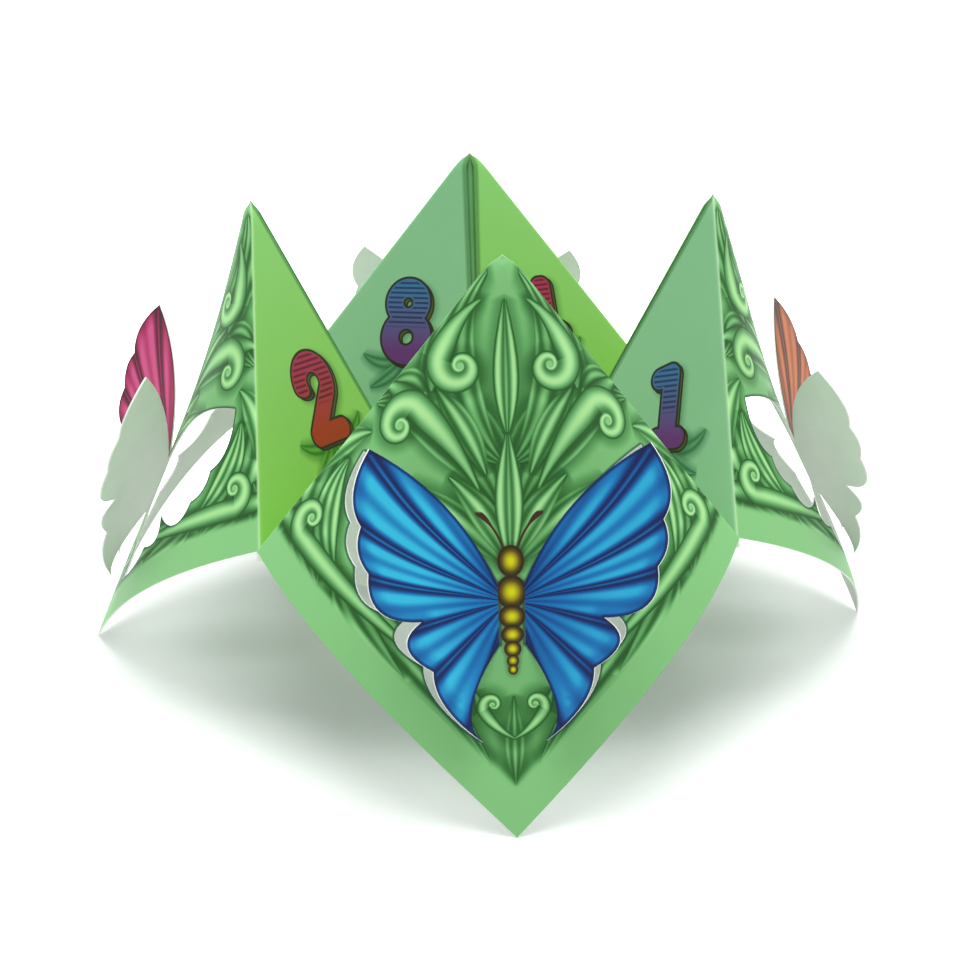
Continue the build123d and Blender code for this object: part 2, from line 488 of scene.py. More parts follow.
def wing_die(side):
    """Block in the shape of one wing, standing across the flat card."""
    deselect()
    bpy.ops.mesh.primitive_circle_add(vertices=len(outline), fill_type="NGON")
    die = bpy.context.object
    for vertex, (across, down) in zip(die.data.vertices, outline):
        middle = PANEL + down / sqrt(2)
        shift = side * across / sqrt(2)
        vertex.co = (middle - shift, middle + shift, -DIE_HEIGHT / 2)
    bpy.ops.object.mode_set(mode="EDIT")
    bpy.ops.mesh.select_all(action="SELECT")
    bpy.ops.mesh.extrude_region_move(TRANSFORM_OT_translate={"value": (0, 0, DIE_HEIGHT)})
    bpy.ops.mesh.select_all(action="SELECT")
    bpy.ops.mesh.normals_make_consistent(inside=False)
    bpy.ops.object.mode_set(mode="OBJECT")
    return die


dies = [wing_die(-1), wing_die(1)]
deselect()
for die in dies:
    die.select_set(True)
bpy.context.view_layer.objects.active = dies[0]
bpy.ops.object.join()
die = bpy.context.object
die.name = "wing_die"
print("die has", len(die.data.polygons), "faces")


# %% Press the die through the card
PRESS_THICKNESS = 1.0
FACING_UP = 0.9


def cut(piece, operation):
    """Cut a thickened card with the die, and keep only its printed side."""
    only(piece)
    thick = piece.modifiers.new("press", "SOLIDIFY")
    thick.thickness = PRESS_THICKNESS
    thick.offset = -1
    bpy.ops.object.modifier_apply(modifier=thick.name)
    pressed = piece.modifiers.new("die", "BOOLEAN")
    pressed.operation = operation
    pressed.solver = "EXACT"
    pressed.object = die
    bpy.ops.object.modifier_apply(modifier=pressed.name)
    bpy.ops.object.mode_set(mode="EDIT")
    bpy.ops.mesh.select_mode(type="FACE")
    bpy.ops.mesh.select_all(action="DESELECT")
    bpy.ops.object.mode_set(mode="OBJECT")
    for face in piece.data.polygons:
        on_top = face.normal.z > FACING_UP and abs(face.center.z) < PRESS_THICKNESS / 4
        face.select = not on_top
    bpy.ops.object.mode_set(mode="EDIT")
    bpy.ops.mesh.delete(type="FACE")
    bpy.ops.mesh.select_all(action="SELECT")
    bpy.ops.mesh.quads_convert_to_tris(quad_method="BEAUTY", ngon_method="BEAUTY")
    bpy.ops.object.mode_set(mode="OBJECT")


only(card)
bpy.ops.object.duplicate()
wings = bpy.context.object
wings.name = "wings"
cut(card, "DIFFERENCE")
cut(wings, "INTERSECT")
bpy.data.objects.remove(die)
print("card", len(card.data.polygons), "faces, wings", len(wings.data.polygons), "faces")

# %% [markdown]
# ## Finer card along the cuts
# The printer draws a dark line round every wing. How far each point lies from the cut is
# worked out here and kept with the point, so the print can read it. Faces near the cut and
# the hinge are divided first, because a number kept on points is only as fine as the points
# are, and the wing bends away at its hinge.

# %% Distance from the cut line
FINE_REACH = 2.2


def across_and_down(flat):
    """Places on the flat flap, measured across and down its diagonal from the tip."""
    across = (flat[:, 1] - flat[:, 0]) / sqrt(2)
    return across, (flat[:, 1] + flat[:, 0]) / sqrt(2) - FLAP_DIAGONAL


def from_cut_line(flat):
    """Distance of flat points from the curves that the die cuts, in millimetres."""
    across, down = across_and_down(flat)
    points = np.stack((np.abs(across), down), 1)
    starts = outline[:CURVE_STEPS * len(WING_CURVES)]
    runs = outline[1:len(starts) + 1] - starts
    nearest = np.full(len(points), 1e3)
    for start, run in zip(starts, runs):
        share = np.clip((points - start) @ run / (run @ run), 0, 1)
        gap = points - start - share[:, None] * run
        nearest = np.minimum(nearest, np.hypot(gap[:, 0], gap[:, 1]))
    return nearest


def flat_points(piece):
    """The points of a piece that still lies flat, in millimetres."""
    flat = np.zeros(len(piece.data.vertices) * 3, np.float32)
    piece.data.vertices.foreach_get("co", flat)
    return flat.reshape(-1, 3)[:, :2].astype(float)


def face_middles(piece, flat):
    """Middles of the triangles of a piece that still lies flat."""
    corners = np.zeros(len(piece.data.loops), np.int32)
    piece.data.loops.foreach_get("vertex_index", corners)
    return flat[corners].reshape(-1, 3, 2).mean(1)


def by_the_outline(flat):
    """Which flat points lie near the cut line or the hinge of a wing."""
    across, down = across_and_down(flat)
    by_hinge = ((np.abs(np.abs(across) - BODY_WIDTH / 2) < FINE_REACH)
                & (np.abs(down - (hinge_high + hinge_low) / 2)
                   < (hinge_low - hinge_high) / 2 + FINE_REACH))
    return by_hinge | (from_cut_line(flat) < FINE_REACH)


def refine(piece):
    """Halve the edges near the outline, and note how far each point lies from the cut."""
    only(piece)
    bpy.ops.object.mode_set(mode="EDIT")
    bpy.ops.mesh.select_all(action="DESELECT")
    bpy.ops.object.mode_set(mode="OBJECT")
    near = by_the_outline(face_middles(piece, flat_points(piece)))
    piece.data.polygons.foreach_set("select", near)
    bpy.ops.object.mode_set(mode="EDIT")
    bpy.ops.mesh.subdivide(number_cuts=1)
    bpy.ops.mesh.select_all(action="SELECT")
    bpy.ops.mesh.quads_convert_to_tris(quad_method="BEAUTY", ngon_method="BEAUTY")
    bpy.ops.object.mode_set(mode="OBJECT")
    distance = piece.data.attributes.new("from_cut", "FLOAT", "POINT")
    distance.data.foreach_set("value", from_cut_line(flat_points(piece)).astype(np.float32))


for piece in (card, wings):
    refine(piece)
    print(piece.name, len(piece.data.polygons), "faces")

# %% [markdown]
# ## Flat places kept for the print
# Before folding, every point stores where it lies on its flat flap: across and down the
# diagonal from the tip. The print is drawn in those coordinates, so it follows the card
# round every bend, and stays sharp at any size.

# %% Printing coordinates
PRINT_SPAN = 160.0


def keep_flat_places(piece):
    """Write the flat places into a UV map and return them in millimetres."""
    mesh = piece.data
    flat = flat_points(piece)
    for layer in list(mesh.uv_layers):
        mesh.uv_layers.remove(layer)
    layer = mesh.uv_layers.new(name="flat_flap")
    corners = np.zeros(len(mesh.loops), np.int32)
    mesh.loops.foreach_get("vertex_index", corners)
    places = np.stack(across_and_down(flat), 1)[corners] / PRINT_SPAN + 0.5
    layer.data.foreach_set("uv", places.astype(np.float32).ravel())
    return flat


flat_card = keep_flat_places(card)
flat_wings = keep_flat_places(wings)
print("kept the flat places of", len(flat_card) + len(flat_wings), "points")


# %% [markdown]
# ## Wings that stand out
# A wing turns out about its hinge, and card curls a little as it does: back towards the
# flap where the curl is above 0, away from it where it is below. The bend is along the wing
# only, so the card isn't stretched.

# %% Lift a wing
def on_hinge(down, bow):
    """Folded places of points on the right hinge, so that the wings meet the card there."""
    half_body = BODY_WIDTH / 2
    return fold_right_half(PANEL + (down - half_body) / sqrt(2),
                           PANEL + (down + half_body) / sqrt(2), bow)


def lift_wings(flat, lifts, curls, bow):
    """Folded places of the points of both wings, with a lift and a curl for each side."""
    across, down = across_and_down(flat)
    side = np.sign(across)
    reach = np.abs(across) - BODY_WIDTH / 2
    ends = on_hinge(np.array((hinge_high, hinge_low)), bow)
    down_hinge = unit(ends[1] - ends[0])
    held = np.clip(down, hinge_high, hinge_low)
    hinge = on_hinge(held, bow) + down_hinge * (down - held)[:, None]
    middle_turn = atan2(BODY_WIDTH / 2, (hinge_low + hinge_high) / 2) / sin(cone_slant)
    out = flap_normal(middle_turn)[0]
    sideways = unit(np.cross(out, down_hinge))
    lift = np.where(side > 0, radians(lifts[1]), radians(lifts[0]))
    bend = np.where(side > 0, radians(curls[1]), radians(curls[0]))
    sideways_run = (np.sin(lift) - np.sin(lift - bend * reach)) / bend
    out_run = (np.cos(lift - bend * reach) - np.cos(lift)) / bend
    places = hinge + sideways_run[:, None] * sideways + out_run[:, None] * out
    places[side < 0, 0] *= -1
    return places


hinge_ends = on_hinge(np.array((hinge_high, hinge_low)), (0.0,))
print("a wing turns about", hinge_ends[0].round(1), "to", hinge_ends[1].round(1))

# %% [markdown]
# ## Four horns from one
# The quarter and its wings are copied, folded with their own small differences, turned to
# their place and welded into one sheet. No two wings of a real one stand quite alike. The
# lifts are the degrees by which the left and the right wing turn out of the flap, the curls
# are the degrees by which each bends back in a millimetre, and the bow holds the height of
# each wave down the flap, in millimetres.

# %% The four horns
HORNS = {
    "front": {"turn": 0, "lifts": (26, 35), "curls": (-0.5, -0.1), "bow": (0.4, 0.0)},
    "right": {"turn": 90, "lifts": (18, 30), "curls": (-0.5, 0.1), "bow": (-0.9, -0.7, 0.4)},
    "back": {"turn": 180, "lifts": (26, 33), "curls": (0.4, 0.3), "bow": (0.3, -0.4)},
    "left": {"turn": 270, "lifts": (30, 37), "curls": (-0.5, 1.0), "bow": (-1.6, -0.4)},
}


def copy_of(piece, name):
    """A copy with its own mesh."""
    twin = piece.copy()
    twin.data = piece.data.copy()
    twin.name = name
    bpy.context.scene.collection.objects.link(twin)
    return twin


def set_places(piece, places, turn):
    """Move the points of a piece, in millimetres, to their places round the middle."""
    angle = radians(turn)
    spin = np.array(((cos(angle), -sin(angle), 0), (sin(angle), cos(angle), 0), (0, 0, 1)))
    turned_places = (places @ spin.T) * MILLIMETRE
    piece.data.vertices.foreach_set("co", turned_places.astype(np.float32).ravel())
    piece.data.update()


# %% [markdown]
# ### A material for each print
# A printer lays every picture out on the flat sheet. Here each picture is a material of its
# own, and each face of the mesh says which one it carries. The flaps and the hidden layers
# are alike on every horn, while the wings change colour and the numerals change from horn to
# horn, with one numeral on the right face and the next in the list on the left.

# %% Prints and their slots
WING_COLOURS = ("blue", "copper", "violet", "pink")
FACE_WORDS = ("five", "six", "seven", "one", "eight", "four", "two", "three")
FLAP_SLOT = 0
HIDDEN_SLOT = 1
WING_SLOT = 2
FACE_SLOT = WING_SLOT + len(WING_COLOURS)
BLANK_SLOT = FACE_SLOT + len(FACE_WORDS)
EDGE_SLOT = BLANK_SLOT + 1
PRINTS = (["printed_flap", "hidden_print"] + [colour + "_wings" for colour in WING_COLOURS]
          + ["number_" + word for word in FACE_WORDS] + ["blank_side", "cut_edge"])
for name in PRINTS:
    material = bpy.data.materials.new(name)
    for piece in (card, wings):
        piece.data.materials.append(material)
print(len(PRINTS), "materials")


def print_slots(number):
    """Which print each face of one quarter carries: flap, hidden layer or numbered face."""
    across, down = across_and_down(face_middles(card, flat_card))
    on_face = (down > 0) & (down < np.abs(across))
    slots = np.where(down > np.abs(across), FLAP_SLOT, HIDDEN_SLOT)
    return np.where(on_face, FACE_SLOT + 2 * number + (across < 0), slots)


# %% Fold and turn the quarters
quarters = []
for number, (name, horn) in enumerate(HORNS.items()):
    quarter = copy_of(card, name + "_quarter")
    quarter.data.polygons.foreach_set("material_index", print_slots(number).astype(np.int32))
    set_places(quarter, fold_quarter(flat_card, horn["bow"]), horn["turn"])
    pair = copy_of(wings, name + "_wings")
    wing_slots = np.full(len(pair.data.polygons), WING_SLOT + number, np.int32)
    pair.data.polygons.foreach_set("material_index", wing_slots)
    lifted = lift_wings(flat_wings, horn["lifts"], horn["curls"], horn["bow"])
    set_places(pair, lifted, horn["turn"])
    quarters += [quarter, pair]
bpy.data.objects.remove(card)
bpy.data.objects.remove(wings)
print("folded", len(quarters) // 2, "quarters, each with its pair of wings")

# %% Weld them into one sheet
WELD_REACH = 2e-6
deselect()
for piece in quarters:
    piece.select_set(True)
bpy.context.view_layer.objects.active = quarters[0]
bpy.ops.object.join()
sheet = bpy.context.object
sheet.name = "folded_card"
bpy.ops.object.mode_set(mode="EDIT")
bpy.ops.mesh.select_all(action="SELECT")
bpy.ops.mesh.remove_doubles(threshold=WELD_REACH)
bpy.ops.object.mode_set(mode="OBJECT")
print("folded sheet has", len(sheet.data.vertices), "points")

# %% [markdown]
# ## Thickness
# Solidify gives the card its thickness on both sides of the folded surface, after the
# folding, so that every bend is as thick as the flat card. The printed side keeps its
# prints, the other side gets the blank one, and the rim that shows at every cut gets the
# white of cut card. Then the sheet is set down on the table.

# %% Give the card its thickness
SMOOTH_DEGREES = 35
printed_faces = len(sheet.data.polygons)
only(sheet)
thickness = sheet.modifiers.new("thickness", "SOLIDIFY")
thickness.thickness = CARD_THICKNESS * MILLIMETRE
thickness.offset = 0
thickness.use_rim = True
bpy.ops.object.modifier_apply(modifier=thickness.name)
slots = np.zeros(len(sheet.data.polygons), np.int32)
sheet.data.polygons.foreach_get("material_index", slots)
slots[printed_faces:2 * printed_faces] = BLANK_SLOT
slots[2 * printed_faces:] = EDGE_SLOT
sheet.data.polygons.foreach_set("material_index", slots)
lowest = min(vertex.co.z for vertex in sheet.data.vertices)
sheet.data.transform(Matrix.Translation((0, 0, -lowest)))
bpy.ops.object.shade_smooth_by_angle(angle=radians(SMOOTH_DEGREES))
print("sheet has", sum(len(face.vertices) - 2 for face in sheet.data.polygons), "triangles")

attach(sheet, "root")
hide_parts("folded_sheet")

# %% [markdown]
# ## How the print is drawn
# A printer would screen an airbrushed drawing onto the sheet before it is cut. Here the
# drawing is worked out while rendering, from the flat place of each point, so it has no
# pixels of its own. A small class lets number sockets be added and multiplied like plain
# numbers, which keeps the formulas readable.

# %% Numbers over the card
class Field:
    """A number that varies over the card: one socket of a node tree."""

    def __init__(self, tree, socket):
        self.tree = tree
        self.socket = socket

    def math(self, operation, *others):
        """Pass this number, and up to two more, through a Math node."""
        node = self.tree.nodes.new("ShaderNodeMath")
        node.operation = operation
        for place, value in zip(node.inputs, (self,) + others):
            feed(self.tree, place, value)
        return Field(self.tree, node.outputs[0])

    def __add__(self, other):
        return self.math("ADD", other)

    def __sub__(self, other):
        return self.math("SUBTRACT", other)

    def __rsub__(self, other):
        return self.math("MULTIPLY_ADD", -1.0, other)

    def __mul__(self, other):
        return self.math("MULTIPLY", other)

    def __truediv__(self, other):
        return self.math("DIVIDE", other)

    __radd__ = __add__
    __rmul__ = __mul__

    def rise(self, low, high):
        """Smooth step that rises from 0 at low to 1 at high."""
        node = self.tree.nodes.new("ShaderNodeMapRange")
        node.interpolation_type = "SMOOTHSTEP"
        for place, value in zip(node.inputs, (self, low, high)):
            feed(self.tree, place, value)
        return Field(self.tree, node.outputs[0])

    def toward(self, other, share):
        """Mix of this number and another."""
        node = self.tree.nodes.new("ShaderNodeMix")
        for place, value in zip((0, 2, 3), (share, self, other)):
            feed(self.tree, node.inputs[place], value)
        return Field(self.tree, node.outputs[0])


def feed(tree, place, value):
    """Give a socket a number, a colour or another socket's value."""
    if isinstance(value, Field):
        tree.links.new(value.socket, place)
    else:
        place.default_value = value


def length_of(across, down):
    """Length of a flat vector."""
    return (across * across + down * down).math("SQRT")


# %% [markdown]
# Each element of the drawing becomes a node group, built once and placed many times.

# %% Node groups
def new_group(name, inputs, outputs):
    """Empty node group: its tree, its input numbers and its output node."""
    tree = bpy.data.node_groups.new(name, "ShaderNodeTree")
    for label in inputs:
        tree.interface.new_socket(label, in_out="INPUT", socket_type="NodeSocketFloat")
    for label in outputs:
        tree.interface.new_socket(label, in_out="OUTPUT", socket_type="NodeSocketFloat")
    entry = tree.nodes.new("NodeGroupInput")
    leave = tree.nodes.new("NodeGroupOutput")
    return tree, [Field(tree, entry.outputs[label]) for label in inputs], leave


def placed(tree, group, *values):
    """Place a group in a tree, feed its inputs in order and give its output numbers."""
    node = tree.nodes.new("ShaderNodeGroup")
    node.node_tree = group
    for place, value in zip(node.inputs, values):
        feed(tree, place, value)
    return [Field(tree, socket) for socket in node.outputs]


# %% [markdown]
# ### The scroll
# Carved and painted scrolls have curled the same way since antiquity: a spiral that shrinks
# by the same share each turn. The logarithm of the distance falls evenly with the angle, so
# one fraction tells how far a point lies between one turn of the line and the next.

# %% Scroll group
TIGHTNESS = 0.22
BAND_LEFT = exp(-2 * pi * TIGHTNESS)
MIDDLE_TONE = 0.65
TONE_SWING = 0.35
EYE_TONE = 0.75


def scroll_group():
    """Disc of a spiral scroll: its light, and how far inside its edge a point lies."""
    tree, numbers, leave = new_group("scroll", (
        "Across", "Down", "Centre across", "Centre down", "Radius", "Start", "Hand"),
        ("Light", "Inside"))
    across, down, centre_across, centre_down, radius, start, hand = numbers
    aside, below = across - centre_across, down - centre_down
    distance = length_of(aside, below).math("MAXIMUM", 0.02)
    turned = ((below.math("ARCTAN2", aside) - start) * hand).math("WRAP", 2 * pi, 0.0)
    edge = radius * (turned * -TIGHTNESS).math("EXPONENT")
    turns_in = (edge / distance).math("LOGARITHM", exp(1)) * (0.5 / pi / TIGHTNESS)
    band = 1.0 - (turns_in.math("FRACT") * (-2 * pi * TIGHTNESS)).math("EXPONENT")
    light = MIDDLE_TONE - (band * (2 * pi / (1 - BAND_LEFT))).math("COSINE") * TONE_SWING
    light = light.toward(EYE_TONE, 1.0 - (distance / radius).rise(0.05, 0.14))
    feed(tree, leave.inputs["Light"], light)
    feed(tree, leave.inputs["Inside"], edge - distance)
    return tree


scroll = scroll_group()
print("scroll group has", len(scroll.nodes), "nodes")


# %% [markdown]
# ### The plume
# Leaves and stems are plumes: a bent band that starts and ends in a point, with soft ribs
# that run along it and draw together at both ends, as the ribs of a feather do.

# %% Plume group
def plume_group():
    """Bent leaf along an arc: its light, and how far inside its edge a point lies."""
    tree, numbers, leave = new_group("plume", (
        "Across", "Down", "Centre across", "Centre down", "Arc radius", "Middle turn",
        "Half turn", "Half width", "Ribs", "Lean"), ("Light", "Inside"))
    across, down, centre_across, centre_down, arc_radius = numbers[:5]
    middle_turn, half_turn, half_width, ribs, lean = numbers[5:]
    aside, below = across - centre_across, down - centre_down
    angle = (below.math("ARCTAN2", aside) - middle_turn).math("WRAP", pi, -pi)
    share = (angle / half_turn * 0.5 + 0.5).math("MAXIMUM", 0.0).math("MINIMUM", 1.0)
    belly = (share.math("POWER", lean) * pi).math("SINE")
    width = (belly * half_width).math("MAXIMUM", 0.01)
    off_line = length_of(aside, below) - arc_radius
    inside = width - off_line.math("ABSOLUTE") - (1.0 - belly.rise(0.0, 0.2)) * 2.0
    light = MIDDLE_TONE + (off_line / width * ribs * pi).math("COSINE") * TONE_SWING
    light = light * (0.6 + belly * 0.4)
    feed(tree, leave.inputs["Light"], light)
    feed(tree, leave.inputs["Inside"], inside)
    return tree


plume = plume_group()
print("plume group has", len(plume.nodes), "nodes")


def arc_through(first, middle, last):
    """Centre, radius, middle turn and half turn of the arc through three points."""
    (ax, ay), (bx, by), (cx, cy) = first, middle, last
    twice = 2 * (ax * (by - cy) + bx * (cy - ay) + cx * (ay - by))
    squares = [x * x + y * y for x, y in (first, middle, last)]
    x = (squares[0] * (by - cy) + squares[1] * (cy - ay) + squares[2] * (ay - by)) / twice
    y = (squares[0] * (cx - bx) + squares[1] * (ax - cx) + squares[2] * (bx - ax)) / twice
    turns = [atan2(py - y, px - x) for px, py in (first, middle, last)]
    swept = (turns[2] - turns[0]) % (2 * pi)
    if (turns[1] - turns[0]) % (2 * pi) > swept:
        swept -= 2 * pi
    return x, y, hypot(ax - x, ay - y), turns[0] + swept / 2, swept / 2


# %% [markdown]
# ### Laying one element over another
# The drawing is built up as a painter does it, from back to front. Each element throws a
# soft shade on what lies under it, and gets a dark line just inside its own edge.

# %% Overlay group
SHADE_REACH = 1.8
SHADE_DEPTH = 0.42
RIM_WIDTH = 0.45
RIM_TONE = 0.35


def overlay_group():
    """One element laid over what is already drawn."""
    tree, (under, light, inside), leave = new_group(
        "overlay", ("Under", "Light", "Inside"), ("Over",))
    shaded = under * (1.0 - inside.rise(-SHADE_REACH, 0.1) * SHADE_DEPTH)
    drawn = light * (RIM_TONE + inside.rise(0.0, RIM_WIDTH) * (1.0 - RIM_TONE))
    feed(tree, leave.inputs["Over"], shaded.toward(drawn, inside.rise(-0.06, 0.10)))
    return tree


overlay = overlay_group()
print("overlay group has", len(overlay.nodes), "nodes")

# %% [markdown]
# ## The card itself
# Printed card isn't quite smooth or even. One group gives every material the same fine
# fibre: a height for the bump, and a mottle that varies colour and gloss a little. Fibres
# are drawn out along the height of the card, and grit is finer than they are.

# %% Card grain group
def grain_group():
    """Fibres and mottle of the card, from places on the object in metres."""
    tree, _, leave = new_group("card_grain", (), ("Height", "Mottle"))
    places = tree.nodes.new("ShaderNodeTexCoord").outputs["Object"]

    def noise(scale, detail, stretch=(1.0, 1.0, 1.0)):
        spread = tree.nodes.new("ShaderNodeMapping")
        spread.inputs["Scale"].default_value = stretch
        tree.links.new(places, spread.inputs["Vector"])
        texture = tree.nodes.new("ShaderNodeTexNoise")
        texture.inputs["Scale"].default_value = scale
        texture.inputs["Detail"].default_value = detail
        tree.links.new(spread.outputs[0], texture.inputs["Vector"])
        return Field(tree, texture.outputs[0])

    fibres = noise(scale=1500.0, detail=3.0, stretch=(1.0, 1.0, 0.35))
    grit = noise(scale=5200.0, detail=2.0)
    clouds = noise(scale=160.0, detail=4.0)
    feed(tree, leave.inputs["Height"], fibres * 0.7 + grit * 0.3)
    feed(tree, leave.inputs["Mottle"], clouds * 0.6 + grit * 0.4)
    return tree


grain = grain_group()
print("card grain group has", len(grain.nodes), "nodes")

# %% [markdown]
# ### Colours from numbers
# The drawing is one number per point, from 0 for the deepest shade to 1 for the lightest
# ridge. A colour ramp turns it into inks, so the same drawing works in every colour. An ink
# is written in the 0 to 255 values of a screen, and the standard curve of screens turns it
# into the amounts of light that a shader works with.

# %% Inks and ramps
def ink(red, green, blue):
    """Colour of an ink, as a shader wants it, from its values on a screen."""
    shares = [value / 255 for value in (red, green, blue)]
    return tuple(share / 12.92 if share < 0.04045 else ((share + 0.055) / 1.055) ** 2.4
                 for share in shares) + (1.0,)


def ramp_of(number, stops):
    """Colour ramp fed by a number: stops are places and inks."""
    tree = number.tree
    node = tree.nodes.new("ShaderNodeValToRGB")
    ramp = node.color_ramp
    while len(ramp.elements) < len(stops):
        ramp.elements.new(0.5)
    for element, (place, colour) in zip(ramp.elements, stops):
        element.position = place
        element.color = colour
    feed(tree, node.inputs[0], number)
    return Field(tree, node.outputs[0])


def mixed(below, above, share):
    """One colour laid over another, by a share from 0 to 1."""
    tree = share.tree
    node = tree.nodes.new("ShaderNodeMix")
    node.data_type = "RGBA"
    feed(tree, node.inputs[0], share)
    feed(tree, node.inputs[6], below)
    feed(tree, node.inputs[7], above)
    return Field(tree, node.outputs[2])


# %% [markdown]
# ### What the card remembers
# The flat place of a point is in the UV map that was written before folding, and its
# distance from the cut is an attribute of the mesh. Both are read back here, and the folding
# doesn't change them.

# %% Read the flat place
def flat_place(tree):
    """Place on the flat flap, across and down from the tip, in millimetres."""
    lookup = tree.nodes.new("ShaderNodeUVMap")
    lookup.uv_map = "flat_flap"
    parts = tree.nodes.new("ShaderNodeSeparateXYZ")
    tree.links.new(lookup.outputs[0], parts.inputs[0])
    across, down = [Field(tree, parts.outputs[place]) for place in (0, 1)]
    return (across - 0.5) * PRINT_SPAN, (down - 0.5) * PRINT_SPAN


def kept_number(tree, name):
    """A number that was kept with the points."""
    lookup = tree.nodes.new("ShaderNodeAttribute")
    lookup.attribute_name = name
    return Field(tree, lookup.outputs["Fac"])


# %% [markdown]
# ### The finish of printed card
# Ink on card is satin, never quite even, and fibres show through it in a raking light. The
# grain varies colour and roughness by a few hundredths round the value of each print and
# drives a faint bump. The sheen is the same all over, so it is set on the shader itself.

# %% Finish of the card
COLOUR_MOTTLE = 0.10
GLOSS_MOTTLE = 0.25
BUMP_STRENGTH = 0.12
BUMP_METRES = 0.00004


def card_finish(material, colour, roughness, sheen_of_ink):
    """Join a colour to the card's own grain, gloss and bump."""
    tree = material.node_tree
    shader = tree.nodes["Principled BSDF"]
    height, mottle = placed(tree, grain)
    toning = (mottle - 0.5) * COLOUR_MOTTLE + 1.0
    toned = tree.nodes.new("ShaderNodeVectorMath")
    toned.operation = "SCALE"
    feed(tree, toned.inputs[0], colour)
    feed(tree, toned.inputs["Scale"], toning)
    tree.links.new(toned.outputs[0], shader.inputs["Base Color"])
    feed(tree, shader.inputs["Roughness"], (mottle - 0.5) * GLOSS_MOTTLE + roughness)
    bump = tree.nodes.new("ShaderNodeBump")
    bump.inputs["Strength"].default_value = BUMP_STRENGTH
    bump.inputs["Distance"].default_value = BUMP_METRES
    feed(tree, bump.inputs["Height"], height)
    tree.links.new(bump.outputs[0], shader.inputs["Normal"])
    shader.inputs["Specular IOR Level"].default_value = sheen_of_ink


def print_material(name):
    """Material of a print, its tree and the flat place that it is drawn from."""
    material = bpy.data.materials[name]
    material.use_nodes = True
    across, down = flat_place(material.node_tree)
    return material, material.node_tree, across, down


# %% [markdown]
# ## The scrollwork of the outer flaps
# The ornament is the same on both halves, so it is drawn from how far a point lies to
# either side of the middle. Plumes come first and scrolls over them. Each plume is given by
# a start, a point half way and an end, in millimetres out from the middle and down from the
# tip, with its half width, its number of ribs and its lean. A lean below 1 puts the widest
# place nearer the start.

# %% Plumes of a flap
LEAVES_OF_FLAP = [
    ((1.0, 33.0), (7.5, 21.5), (19.5, 18.5), 4.6, 4, 0.9),
    ((0.5, 27.0), (7.5, 14.5), (0.5, 1.5), 4.2, 4, 0.8),
    ((2.0, 67.0), (21.5, 46.5), (36.0, 35.5), 4.6, 5, 1.0),
    ((25.5, 43.0), (27.5, 33.5), (21.0, 21.5), 4.4, 4, 1.0),
    ((0.0, 40.5), (5.5, 34.5), (13.5, 28.8), 1.8, 2, 0.9),
    ((0.0, 40.0), (3.0, 33.5), (8.0, 28.0), 1.8, 2, 0.9),
    ((0.0, 40.0), (-0.3, 32.0), (0.0, 22.0), 2.1, 3, 0.9),
    ((2.5, 29.0), (4.5, 24.0), (9.5, 16.5), 1.7, 2, 1.0),
    ((0.0, 23.5), (-0.3, 15.0), (0.0, 5.0), 1.9, 3, 0.8),
    ((10.0, 19.5), (13.0, 15.8), (16.5, 16.8), 1.6, 2, 1.0),
    ((18.0, 22.4), (23.6, 23.6), (28.2, 28.6), 2.0, 2, 0.9),
    ((22.6, 41.5), (25.0, 34.0), (21.4, 25.0), 2.3, 3, 1.0),
    ((29.5, 30.5), (33.0, 32.8), (36.6, 37.6), 1.8, 2, 0.9),
    ((13.0, 54.5), (20.0, 47.5), (23.6, 39.0), 2.4, 3, 1.0),
    ((4.0, 64.5), (9.5, 60.8), (14.0, 54.0), 1.8, 3, 1.0),
    ((0.0, 68.0), (-0.3, 62.0), (0.0, 55.5), 1.6, 2, 0.9),
]
print(len(LEAVES_OF_FLAP), "plumes on each half of a flap")

# %% [markdown]
# A scroll is given by its centre, its radius, the degrees at which its mouth opens and the
# hand that it turns by. Its stem follows, as the radius of the stem's bend, the degrees that
# it sweeps and its half width. The stem reaches back into the mouth by STEM_LAP of its
# sweep, so that the two read as one line.

# %% Scrolls and their stems
SCROLLS = [
    ((27.4, 33.2), 4.5, 45, -1, 240.0, 9.6, 1.65),
    ((14.0, 21.9), 5.4, -130, 1, 30.0, 38, 2.0),
    ((5.6, 14.6), 5.2, -20, 1, 14.0, 56, 1.95),
    ((2.6, 57.3), 2.3, 30, -1, 9.0, 56, 0.87),
]
STEM_LAP = 0.35
STEM_RIBS = 1
STEM_LEAN = 2.0


def stem_of(centre_across, centre_down, radius, start, hand, bend, sweep, half_width):
    """Plume that runs out of a scroll's mouth, round an arc of the given bend."""
    mouth = radius * (1 + BAND_LEFT) / 2
    away = mouth - bend
    lap = radians(sweep) * STEM_LAP
    swept = radians(sweep) + lap
    turn = start - hand * (radians(sweep) - lap) / 2
    return (centre_across + cos(start) * away, centre_down + sin(start) * away, bend, turn,
            hand * swept / 2, half_width, STEM_RIBS, STEM_LEAN)


print(len(SCROLLS), "scrolls on each half of a flap")

# %% [markdown]
# The elements are laid one over another on a plain ground that deepens a little towards the
# foot. Along the two free edges runs a border, plain and paler, with a soft dark line where
# the ornament ends.

# %% Draw the ornament
GROUND_TONE = 0.68
BORDER = 5.2
BORDER_TONE = 0.74
GREENS = [(0.0, ink(20, 58, 20)), (0.25, ink(46, 104, 46)), (0.55, ink(98, 164, 96)),
          (0.78, ink(136, 198, 130)), (1.0, ink(170, 224, 148))]

